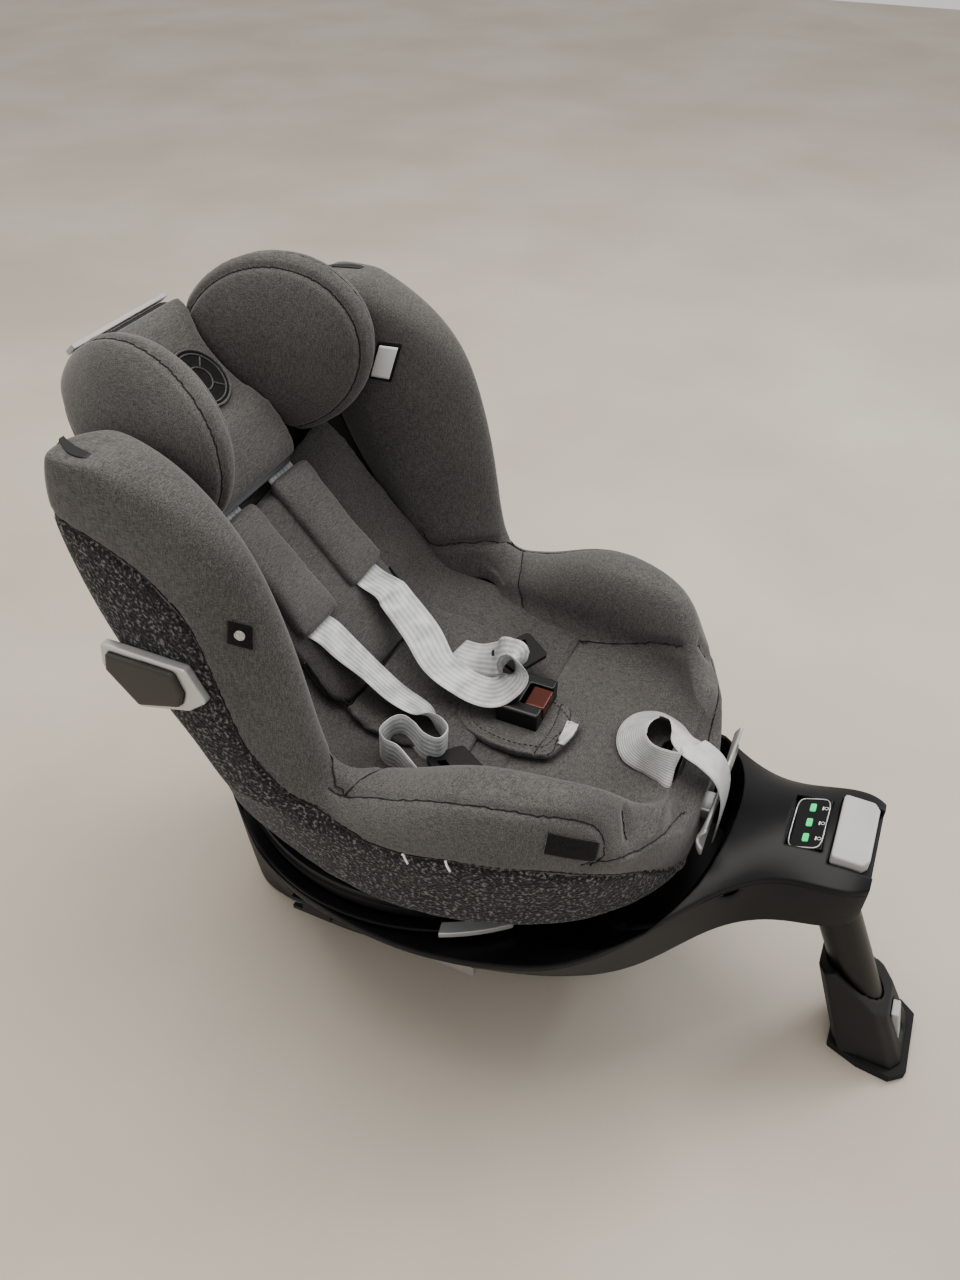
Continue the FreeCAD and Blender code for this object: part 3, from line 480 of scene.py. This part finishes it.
# the side seam between the light cover and the dark panel below it, as (y, z) in mm, and the panel's outer limits
SIDE_SEAM = [(252, 556), (219, 550), (175, 540), (136, 521), (105, 485), (90, 430), (74, 371), (39, 328), (-15, 311),
             (-60, 308), (-104, 314), (-162, 312), (-205, 294), (-238, 266), (-258, 236), (-266, 214)]
PANEL_LIMITS = [(-290, 200), (-290, 100), (400, 100), (400, 556)]
# the cover's half width at that height, as (y, x) in mm
COVER_HALF = [(-266, 60), (-245, 100), (-218, 136), (-184, 166), (-134, 194), (-78, 206), (400, 206)]
# CAD node, body, look, how far the cloth may swell
PADS = [
    # the infant inlay takes the darker grey, which is painted shade
    ("infant_inlay", "seat", GREY_PAINTED_SHADE, 0.005),
    ("headrest_pad", "headrest", GREY, 0.006),
    ("headrest_wings", "headrest", GREY, 0.006),
    ("shoulder_pads", "headrest", GREY, 0.004),
]


# the plane of the backrest, and how far in front of it the shoulder pads stay, clear of the headrest's rails
BACK_FOOT = (0, 0.0815, 0.335)
BACK_FACING = (0, -0.7547, 0.6561)
PAD_CLEARANCE = 0.0024
# the opening of the harness adjuster in the seat cover
SLOT_HALF_X = 0.0215
SLOT_Y = (-0.2325, -0.2155)


def soft_copy(name, sources, look, voxel):
    """One remeshed copy of the CAD solids of some soft nodes."""
    points, faces = [], []
    for node in sources:
        mesh = nodes[node].data
        start = len(points)
        points += [v.co.copy() for v in mesh.vertices]
        faces += [[i + start for i in p.vertices] for p in mesh.polygons]
    obj = piece(name, points, faces, look)
    remeshed(obj, voxel)
    return obj


def remeshed(obj, voxel):
    remesh = obj.modifiers.new("remesh", "REMESH")
    remesh.mode = "VOXEL"
    remesh.voxel_size = voxel
    apply_modifiers(obj)


def grown(obj, distance):
    """Moves the surface out along its normals; growing, remeshing and shrinking back fills sharp valleys."""
    normals = np.zeros(len(obj.data.vertices) * 3)
    obj.data.vertices.foreach_get("normal", normals)
    set_vertices(obj, vertices_of(obj) + normals.reshape(-1, 3) * distance)


def relax(obj, rounds, divide=0):
    smooth = obj.modifiers.new("smooth", "SMOOTH")
    smooth.factor = 0.5
    smooth.iterations = rounds
    if divide:
        finer = obj.modifiers.new("divide", "SUBSURF")
        finer.levels = finer.render_levels = divide
    apply_modifiers(obj)


def side_distance(y, z):
    """Signed distance in the side view to the dark panel's outline, negative inside it, with its nearest point."""
    outline = np.array([*SIDE_SEAM, *PANEL_LIMITS], float) / 1000
    spots = np.stack([y, z], axis=1)
    best = np.full(len(spots), 1e9)
    nearest = np.zeros_like(spots)
    inside = np.zeros(len(spots), bool)
    for a, b in zip(outline, np.roll(outline, -1, axis=0)):
        run = b - a
        share = np.clip(((spots - a) @ run) / (run @ run), 0, 1)
        foot = a + share[:, None] * run
        gap = np.linalg.norm(spots - foot, axis=1)
        closer = gap < best
        best[closer] = gap[closer]
        nearest[closer] = foot[closer]
        crosses = (a[1] > spots[:, 1]) != (b[1] > spots[:, 1])
        if a[1] != b[1]:
            at = a[0] + (spots[:, 1] - a[1]) * run[0] / run[1]
            inside ^= crosses & (spots[:, 0] < at)
    return np.where(inside, -best, best), nearest


def make_cover():
    """The whole sewn cover: wings, thigh bolsters, seat and side panels as one skin, cut in two at the side seam."""
    whole = soft_copy("cover", COVER_NODES, GREY, COVER_VOXEL)
    grown(whole, CLOSING)
    remeshed(whole, COVER_VOXEL)
    relax(whole, 8)
    grown(whole, -CLOSING)
    relax(whole, 8)
    points = vertices_of(whole)
    gap, nearest = side_distance(points[:, 1], points[:, 2])
    close = (np.abs(gap) < COVER_VOXEL * 0.55) & (np.abs(points[:, 0]) > 0.05)
    points[close, 1:] = nearest[close]
    set_vertices(whole, points)
    normals = np.array([p.normal[:] for p in whole.data.polygons])
    centres = np.array([p.center[:] for p in whole.data.polygons])
    gap, _ = side_distance(centres[:, 1], centres[:, 2])
    outward = normals[:, 0] * np.sign(centres[:, 0])
    in_slot = ((np.abs(centres[:, 0]) < SLOT_HALF_X) & (centres[:, 1] > SLOT_Y[0]) & (centres[:, 1] < SLOT_Y[1])
               & (centres[:, 2] > 0.27))
    on_side = (np.abs(centres[:, 0]) > 0.13) | (centres[:, 1] < -0.205)
    dark_faces = (gap < 0) & on_side & (outward > -0.2) & (normals[:, 2] < 0.6)
    halves = []
    for name, keep, look, cloth in (("cover_light", ~dark_faces & ~in_slot, GREY, "grey_melange_fabric"),
                                    ("cover_dark", dark_faces, DARK, "dark_boucle_fabric")):
        form = bmesh.new()
        form.from_mesh(whole.data)
        form.faces.ensure_lookup_table()
        bmesh.ops.delete(form, geom=[form.faces[i] for i in np.flatnonzero(~keep)], context="FACES")
        mesh = bpy.data.meshes.new(name)
        form.to_mesh(mesh)
        form.free()
        half = bpy.data.objects.new(name, mesh)
        scene.collection.objects.link(half)
        mesh.materials.clear()
        mesh.materials.append(look)
        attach(half, "seat")
        halves.append(half)
    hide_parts("wing_bolsters", "thigh_bolsters", "front_apron", "seat_cushion")
    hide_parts("wing_panels", "side_panels")
    bpy.data.objects.remove(whole)
    return halves


def make_pads():
    """Each separate pad starts as its CAD solid, is swollen by cloth pressure and then smoothed."""
    made = {}
    for node, body, look, swell in PADS:
        obj = soft_copy("soft_" + node, [node], look, VOXEL if node != "crotch_pad" else 0.003)
        made[node] = (obj, body, swell, vertices_of(obj))
    for obj, *_ in made.values():
        cloth = obj.modifiers.new("cloth", "CLOTH")
        cloth.settings.use_pressure = True
        cloth.settings.uniform_pressure_force = 4
        cloth.settings.effector_weights.gravity = 0
        cloth.settings.quality = 4
        cloth.settings.mass = 0.3
    for tick in range(1, 15):
        scene.frame_set(tick)
    for node, (obj, body, swell, before) in made.items():
        if obj.modifiers:
            apply_modifiers(obj)
            move = vertices_of(obj) - before
            far = np.linalg.norm(move, axis=1, keepdims=True)
            set_vertices(obj, before + move * np.minimum(1, swell / np.maximum(far, 1e-9)))
        relax(obj, 6, 1)
        if node == "shoulder_pads":
            points = vertices_of(obj)
            depth = (points - np.array(BACK_FOOT)) @ np.array(BACK_FACING)
            lift = np.maximum(0, PAD_CLEARANCE - depth)
            set_vertices(obj, points + lift[:, None] * np.array(BACK_FACING))
        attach(obj, body)
        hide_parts(node)
        made[node] = obj
    scene.frame_set(1)
    return made


def sheet_pad(name, rows, thick, look, body, replaced=(), sag=0.0, voxel=0.0045):
    """A soft mat; each row is (y, z, half width, how far its edges rise) in mm along its middle line."""
    middle = smooth_path([Vector((y, z, half)) for y, z, half, _ in rows], 8)
    rises = smooth_path([Vector((rise, 0, 0)) for *_, rise in rows], 8)
    count = 60
    points, faces = [], []
    for i, (y, z, half) in enumerate(middle):
        ahead, behind = middle[min(i + 1, len(middle) - 1)], middle[max(i - 1, 0)]
        run = Vector((ahead.x - behind.x, ahead.y - behind.y)).normalized()
        up = Vector((run.y, -run.x))
        for k in range(count + 1):
            u = 2 * k / count - 1
            lift = rises[i].x * abs(u) ** 4 - sag * math.cos(u * math.pi / 2) ** 2
            points.append(mm(u * half, y + up.x * lift, z + up.y * lift))
    for i in range(len(middle) - 1):
        for k in range(count):
            a = i * (count + 1) + k
            faces.append([a, a + count + 1, a + count + 2, a + 1])
    obj = piece(name, points, faces, look)
    solid = obj.modifiers.new("solid", "SOLIDIFY")
    solid.thickness = thick
    solid.offset = -1
    apply_modifiers(obj)
    remeshed(obj, voxel)
    relax(obj, 6, 1)
    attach(obj, body)
    if replaced:
        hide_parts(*replaced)
    return obj


def make_liner():
    """The fabric behind and under the infant inlay, and the inlay's seat part."""
    back = [(205, 450, 128, 26), (190, 440, 134, 22), (157, 402, 138, 18), (124, 364, 142, 16), (104, 341, 146, 14),
            (90, 322, 148, 14), (72, 306, 150, 14), (44, 297, 152, 14), (0, 294, 152, 12), (-50, 292, 146, 10),
            (-96, 291, 138, 6)]
    # the liner and the inlay seat take the darker grey, which is painted shade
    liner = sheet_pad("liner", back, 0.010, GREY_PAINTED_SHADE, "seat", ["back_cushion"], 2.0)
    seat = [(58, 311, 82, 6), (40, 304, 88, 6), (10, 300, 90, 5), (-30, 298, 86, 3), (-62, 296, 76, 2)]
    return liner, sheet_pad("inlay_seat", seat, 0.008, GREY_PAINTED_SHADE, "seat", (), 1.0)


def strap(name, pairs, width, look, replaced=(), body="seat", thick=0.0016):
    """Webbing given by its two edges in mm."""
    path = [(mm(*a) + mm(*b)) / 2 for a, b in pairs]
    across = [mm(*b) - mm(*a) for a, b in pairs]
    return ribbon(name, path, [a.normalized() for a in across], width, look, body, thick, replaced)


def make_straps():
    strap("strap_left", [
        ((61, 189, 460), (23, 189, 460)), ((61, 153, 420), (23, 153, 420)), ((61, 127, 389), (23, 127, 389)),
        ((61, 110, 370), (24, 111, 371)), ((58, 92, 361), (22, 95, 365)), ((56, 72, 357), (20, 80, 360)), ((51, 55, 349), (18, 73, 351)),
        ((32, 20, 336), (1, 40, 336)), ((13, -1, 324), (-22, 4, 325)), ((4, -21, 319), (-30, -36, 318)),
        ((3, -43, 318), (-31, -62, 316)), ((11, -57, 321), (-24, -74, 319)), ((22, -62, 330), (-10, -83, 328)),
        ((30, -55, 337), (4, -74, 338)), ((33, -45, 332), (10, -62, 334)), ((36, -38, 326), (14, -56, 326)),
        ((44, -28, 316), (18, -42, 316)), ((52, -12, 306), (22, -20, 305)), ((58, 8, 301), (26, 6, 301))],
        0.038, WEBBING, ["webbing_left"])
    strap("strap_right", [
        ((-23, 189, 460), (-61, 189, 460)), ((-23, 153, 420), (-61, 153, 420)), ((-24, 127, 389), (-62, 127, 389)),
        ((-27, 110, 370), (-64, 110, 370)), ((-28, 92, 361), (-64, 92, 363)), ((-29, 76, 348), (-64, 76, 352)),
        ((-31, 53, 330), (-64, 50, 338)),
        ((-35, 24, 314), (-69, 20, 324)), ((-41, -5, 305), (-72, -11, 320)), ((-57, -20, 296), (-67, -22, 322)),
        ((-68, -33, 293), (-71, -35, 324)), ((-79, -41, 292), (-79, -43, 324)), ((-92, -39, 292), (-92, -41, 324)),
        ((-93, -25, 292), (-92, -27, 324)), ((-85, -11, 292), (-84, -13, 324)), ((-80, 1, 292), (-80, 0, 324)),
        ((-87, 9, 292), (-87, 8, 324)), ((-104, 11, 293), (-104, 10, 325)), ((-114, 1, 294), (-114, 0, 326)),
        ((-117, -12, 294), (-116, -13, 326)), ((-126, -28, 294), (-125, -29, 325)), ((-138, -47, 294), (-137, -48, 324)),
        ((-146, -58, 294), (-145, -60, 322))],
        0.036, WEBBING, ["webbing_right"])
    strap("strap_adjuster", [
        ((-17, -222, 284), (17, -222, 284)), ((-20, -228, 291), (8, -224, 297)), ((-25, -232, 293), (-14, -232, 306)),
        ((-24, -222, 292), (-19, -220, 314)), ((-24, -208, 292), (-20, -211, 320)), ((-20, -192, 292), (-14, -206, 320)),
        ((-13, -181, 292), (-7, -203, 318)), ((2, -172, 292), (3, -201, 316)), ((22, -170, 292), (13, -201, 314)),
        ((40, -177, 292), (22, -204, 313)), ((51, -194, 292), (26, -211, 313)), ((48, -214, 293), (20, -222, 313)),
        ((36, -230, 297), (4, -232, 311)), ((26, -240, 303), (-8, -238, 308)), ((22, -254, 302), (-12, -252, 304)),
        ((21, -268, 292), (-13, -267, 293)), ((20, -276, 274), (-14, -276, 274)), ((20, -278, 250), (-14, -278, 250)),
        ((20, -277, 216), (-14, -277, 216))],
        0.034, SATIN_STRAP, ["adjuster_strap"])


def mirrored(points, side):
    return [mm(x * side, y, z) for x, y, z in points]


def wing_curve(side, depth, count=64):
    """A ring round a headrest wing, at a distance in mm from its middle plane towards the head."""
    centre, axes, toe, pitch = Vector((94, 211, 557)), (38, 100, 84), math.radians(12), math.radians(-30)
    turn = Matrix.Rotation(toe, 3, "Z") @ Matrix.Rotation(pitch, 3, "X")
    size = math.sqrt(1 - (depth / axes[0]) ** 2)
    ring = []
    for k in range(count):
        t = 2 * math.pi * k / count
        spot = centre + turn @ Vector((-depth, axes[1] * size * math.cos(t), axes[2] * size * math.sin(t)))
        ring.append(mm(spot.x * side, spot.y, spot.z))
    return ring


def patch(name, centre, right, up, size, look, targets, body, lift=0.0009, round_shape=False):
    """A flat label or emblem that lies on the surface; size is (width, height) in mm."""
    tree = surface_tree(targets)
    right, up = Vector(right).normalized(), Vector(up).normalized()
    count = 14
    points, faces = [], []
    for j in range(count + 1):
        for i in range(count + 1):
            u, v = 2 * i / count - 1, 2 * j / count - 1
            if round_shape:
                u, v = u * math.sqrt(1 - v * v / 2), v * math.sqrt(1 - u * u / 2)
            guide = mm(*centre) + (right * u * size[0] + up * v * size[1]) / 2000
            spot, normal, _, _ = tree.find_nearest(guide)
            points.append(spot + normal * lift)
    for j in range(count):
        for i in range(count):
            a = j * (count + 1) + i
            faces.append([a, a + 1, a + count + 2, a + count + 1])
    made = piece(name, points, faces, look)
    if (points[1] - points[0]).cross(points[count + 1] - points[0]).dot(tree.find_nearest(points[0])[1]) < 0:
        made.data.flip_normals()
    thick = made.modifiers.new("thick", "SOLIDIFY")
    thick.thickness = lift * 1.6
    thick.offset = -0.4
    apply_modifiers(made)
    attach(made, body)
    return made


def cover_half(y):
    return float(np.interp(y, [row[0] for row in COVER_HALF], [row[1] for row in COVER_HALF]))


def make_seams():
    cover = [light_cover, dark_cover]
    for side, tag in ((1, "left"), (-1, "right")):
        seam("side_seam_" + tag, [mm(cover_half(y) * side, y, z) for y, z in SIDE_SEAM[:-1]], cover, "seat", True, 0.0009)
        seam("waist_seam_" + tag, mirrored([(118, 100, 346), (145, 84, 338), (165, 41, 348), (187, -3, 335)], side),
             [light_cover], "seat", True, 0.0008, None, 0.009, 0.004)
        seam("hip_seam_" + tag, mirrored([(187, -3, 335), (160, -14, 334), (138, -22, 312), (122, -28, 297),
                                          (116, -34, 292)], side), [light_cover], "seat", True, 0.0008)
        seam("bolster_seam_" + tag, mirrored([(116, -34, 292), (116, -70, 292), (118, -104, 293), (121, -137, 300),
                                              (116, -177, 320), (112, -208, 330), (122, -232, 322)], side),
             [light_cover], "seat", True, 0.0008, None, 0.010, 0.004)
        seam("thigh_seam_" + tag, mirrored([(-189, 10, 337), (-183, -37, 342), (-182, -77, 357), (-179, -118, 367),
                                            (-167, -162, 364), (-150, -192, 353), (-142, -207, 336), (-147, -211, 316),
                                            (-156, -205, 308)], -side), [light_cover], "seat", True, 0.0008)
        seam("front_seam_" + tag, mirrored([(-160, -199, 310), (-139, -220, 309), (-110, -236, 303), (-77, -247, 293),
                                            (-40, -252, 278)], -side), [light_cover], "seat", True, 0.0008)
        wing = [pads["headrest_wings"]]
        for depth, end in ((16, "inner"), (-4, "outer")):
            ring = wing_curve(side, depth)
            seam("wing_%s_seam_%s" % (end, tag), [*ring, ring[0]], wing, "headrest", True, 0.0008)
    # a raised near-black cord along the back inlay's lower edge stands in for the shadow gap there: painted shadow
    seam("inlay_edge_shadow_cord", [mm(-82, 96, 352), mm(-87, 72, 318), mm(-76, 62, 310), mm(-58, 57, 308), mm(-40, 57, 308),
                          mm(-20, 58, 309), mm(0, 58, 309), mm(20, 58, 309), mm(40, 57, 308), mm(58, 57, 308),
                          mm(76, 62, 310), mm(87, 72, 318), mm(82, 96, 352)], [pads["infant_inlay"], inlay_seat], "seat",
         False, 0.0019, INLAY_EDGE_SHADOW)


def make_labels():
    cover = [light_cover, dark_cover]
    patch("tag_side", (-199, 61, 487), (-0.2, -0.85, -0.1), (0, -0.15, 1), (22, 21), LABEL, cover, "seat", 0.0012)
    patch("tag_side_mark", (-199, 61, 488), (-0.2, -0.85, -0.1), (0, -0.15, 1), (9, 8), LABEL_THREAD, cover, "seat",
          0.0022, True)
    patch("tag_thigh", (-160, -188, 333), (0.45, -0.75, -0.4), (0.25, -0.05, 1), (46, 19), LABEL, cover, "seat", 0.0012)
    for name, size, look, lift in (("care_label_edge", (26, 40), LABEL, 0.0012), ("care_label", (20, 33), WHITE, 0.0022)):
        patch(name, (150, 127, 536), (-0.3, -0.9, 0), (0.1, -0.3, 1), size, look, [light_cover], "seat", lift)
    patch("tag_yellow", (-150, 176, 571), (0, -1, 0), (0.2, 0, 1), (12, 16), YELLOW, [light_cover], "seat", 0.0012)
    for spot, (low, high) in enumerate((((-204, -68, 300), (-206, -64, 310)), ((-199, -103, 304), (-201, -99, 314)))):
        line = snapped([mm(*low), mm(*high)], cover, 6, 0.0006)
        tack = tube("bar_tack_%d" % spot, [p for p, _ in line], 0.0011, WHITE)
        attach(tack, "seat")
    pad = [pads["headrest_pad"]]
    centre, right, up = (6, 236, 553), (1, 0, 0), (0, 0.62, 0.78)
    patch("emblem_disc", centre, right, up, (60, 60), LABEL, pad, "headrest", 0.0014, True)
    for radius, thread in ((28.5, 0.0011), (24.5, 0.0007), (12, 0.0007)):
        ring = [mm(centre[0] + radius * math.cos(t), centre[1] + 0.62 * radius * math.sin(t),
                   centre[2] + 0.78 * radius * math.sin(t)) for t in np.linspace(0, 2 * math.pi, 40)]
        line = snapped(ring, pad, 3, 0.0024)
        made = tube("emblem_ring_%d" % radius, [p for p, _ in line][:-1], thread, EMBLEM_THREAD, 6, True)
        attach(made, "headrest")
    for k in range(4):
        turn = math.pi / 4 + k * math.pi / 2
        ends = [mm(centre[0] + r * math.cos(turn), centre[1] + 0.62 * r * math.sin(turn),
                   centre[2] + 0.78 * r * math.sin(turn)) for r in (13, 18, 23)]
        made = tube("emblem_spoke_%d" % k, [p for p, _ in snapped(ends, pad, 4, 0.0024)], 0.0007, EMBLEM_THREAD)
        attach(made, "headrest")


# CAD node, body, voxel, smoothing rounds, finish name
ROUNDED = [
    ("shield_bezel_left", "shield_left", 0.0013, 8, "silver_plastic"),
    ("shield_bezel_right", "shield_right", 0.0013, 8, "silver_plastic"),
    ("shield_cap_left", "shield_left", 0.0013, 9, "shield_grey"),
    ("shield_cap_right", "shield_right", 0.0013, 9, "shield_grey"),
    ("front_release_button", "front_button", 0.0011, 5, "light_grey_plastic"),
    ("foot_case", "foot", 0.0016, 6, "foot_grey"),
    ("foot_button", "foot_button", 0.0009, 3, "light_grey_plastic"),
    ("buckle_body", "seat", 0.0009, 4, "buckle_black"),
    ("buckle_button", "buckle_button", 0.0009, 4, "buckle_red"),
]


def make_rounded():
    """Moulded pieces with softened edges, from their CAD solids."""
    for node, body, voxel, rounds, finish in ROUNDED:
        look = NODE_LOOK[node]
        made = soft_copy("rounded_" + node, [node], look, voxel)
        relax(made, rounds)
        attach(made, body)
        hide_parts(node)


def make_slot_rim():
    """The black frame round the opening that the adjuster strap comes out of."""
    ring = []
    for k in range(40):
        t = 2 * math.pi * k / 40
        x = math.copysign(abs(math.cos(t)) ** 0.45, math.cos(t)) * 0.0225
        y = math.copysign(abs(math.sin(t)) ** 0.45, math.sin(t)) * 0.0092 - 0.224
        ring.append(Vector((x, y, 0.293)))
    line = snapped([*ring, ring[0]], [light_cover], 2, 0.0004)
    rim = tube("adjuster_rim", [p for p, _ in line][:-1], 0.0018, BUCKLE, 8, True)
    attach(rim, "seat")


def make_well():
    """The black inner wall of the base in front of the turntable."""
    outline = [(-112, -176), (-104, -226), (-74, -262), (-58, -286), (58, -286), (74, -262), (104, -226), (112, -176),
               (60, -184), (0, -186), (-60, -184)]
    count = len(outline)
    points = [mm(x, y, z) for z in (146, 150) for x, y in outline]
    faces = [list(range(count))[::-1], [count + k for k in range(count)]]
    faces += [[k, (k + 1) % count, count + (k + 1) % count, count + k] for k in range(count)]
    well = piece("base_well", points, faces, UNDER, False)
    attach(well, "base")


def make_display():
    """Rim and generic marks on the status display."""
    along, across = Vector((0, -0.9272, 0.3746)), Vector((1, 0, 0))
    normal = Vector((0, 0.3746, 0.9272))
    middle = mm(0, -351.8, 267.4)
    loop = []
    for k in range(48):
        t = 2 * math.pi * k / 48
        u = math.copysign(abs(math.cos(t)) ** 0.35, math.cos(t)) * 0.0292
        v = math.copysign(abs(math.sin(t)) ** 0.35, math.sin(t)) * 0.0142
        loop.append(middle + across * u + along * v + normal * 0.0003)
    rim = tube("display_rim", loop, 0.0006, SILVER, 6, True)
    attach(rim, "base")
    turn = Matrix((across, along, normal)).transposed().to_4x4()
    for k, x in enumerate((-18, 0, 18)):
        where = middle + across * x / 1000 + along * 0.0085
        rounded_box("display_mark_%d" % k, (0.0042, 0.0012, 0.0005), where + normal * 0.0003, WHITE, turn, 0.0002, 2, "base")
        ring = [where + along * 0.0028 + across * 0.0016 * math.cos(t) + along * 0.0016 * math.sin(t) + normal * 0.0003
                for t in np.linspace(0, 2 * math.pi, 16, endpoint=False)]
        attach(tube("display_ring_%d" % k, ring, 0.0003, WHITE, 5, True), "base")


def make_handle():
    """The recline handle: two cupped lobes joined by a waist."""
    outline = [(0, 239, 262), (22, 239, 264), (40, 242, 272), (54, 247, 282), (63, 256, 289), (66.5, 268, 291)]
    rows = smooth_path([Vector(p) for p in outline], 8)
    count = 12
    points, faces = [], []
    spine = [(-x, low, high) for x, low, high in reversed(rows[1:])] + [tuple(r) for r in rows]
    for x, low, high in spine:
        share = abs(x) / 67
        for k in range(count + 1):
            v = 2 * k / count - 1
            z = (low + high) / 2 + (high - low) / 2 * v
            cup = 5.5 * share * (1 - v * v)
            points.append(mm(x, -269.5 - 3.5 * share ** 2 + cup - 1.5, z))
    for i in range(len(spine) - 1):
        for k in range(count):
            a = i * (count + 1) + k
            faces.append([a, a + count + 1, a + count + 2, a + 1])
    handle = piece("handle_lobes", points, faces, SILVER)
    thick = handle.modifiers.new("thick", "SOLIDIFY")
    thick.thickness = 0.003
    thick.offset = 0
    round_off = handle.modifiers.new("round", "SUBSURF")
    round_off.levels = round_off.render_levels = 1
    apply_modifiers(handle)
    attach(handle, "recline_handle")
    stem = rounded_box("handle_stem", (0.024, 0.030, 0.013), mm(0, -255, 248.5), SILVER, None, 0.002, 3, "recline_handle")
    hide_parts("recline_handle")
    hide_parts("recline_handle")
    return handle


def make_crotch_pad():
    """The stitched pad that the buckle sits in, lying a little askew, with its reflective tab."""
    outline = [(-33, -30), (-16, -26), (0, -30), (18, -42), (30, -58), (31, -78), (26, -100), (20, -118), (3, -139),
               (-14, -138), (-32, -133), (-48, -128), (-53, -112), (-56, -96), (-55, -72), (-48, -46)]
    count = len(outline)
    points = [mm(x, y, z) for z in (291, 300) for x, y in outline]
    faces = [list(range(count))[::-1], [count + k for k in range(count)]]
    faces += [[k, (k + 1) % count, count + (k + 1) % count, count + k] for k in range(count)]
    pad = piece("buckle_pad", points, faces, GREY)
    remeshed(pad, 0.0022)
    relax(pad, 10, 1)
    for name, shrink in (("buckle_pad_edge", 0.9), ("buckle_pad_stitch", 0.8)):
        centre = Vector((-14, -84))
        ring = [mm(*(centre + (Vector(p) - centre) * shrink), 302) for p in [*outline, outline[0]]]
        if shrink > 0.85:
            line = snapped(ring, [pad])
            groove(pad, line, 0.004, 0.0012)
        else:
            stitches(name, ring, [pad], "seat", THREAD_DARK)
    for spot, y in enumerate((-112, -124)):
        seam("buckle_pad_seam_%d" % spot, [mm(-50, y - 2, 302), mm(-15, y - 5, 302), mm(21, y - 2, 302)], [pad], "seat",
             True, 0.0006, None, 0.004, 0.0014)
    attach(pad, "seat")
    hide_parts("crotch_pad")
    patch("buckle_pad_tab", (-17, -133, 300), (1, 0.05, 0), (0, 1, 0.1), (30, 11), WEBBING, [pad], "seat", 0.0010)


make_stage()
make_camera()
light_cover, dark_cover = make_cover()
pads = make_pads()
liner, inlay_seat = make_liner()
make_straps()
make_seams()
make_labels()
make_display()
make_handle()
make_crotch_pad()
make_rounded()
make_slot_rim()
make_well()
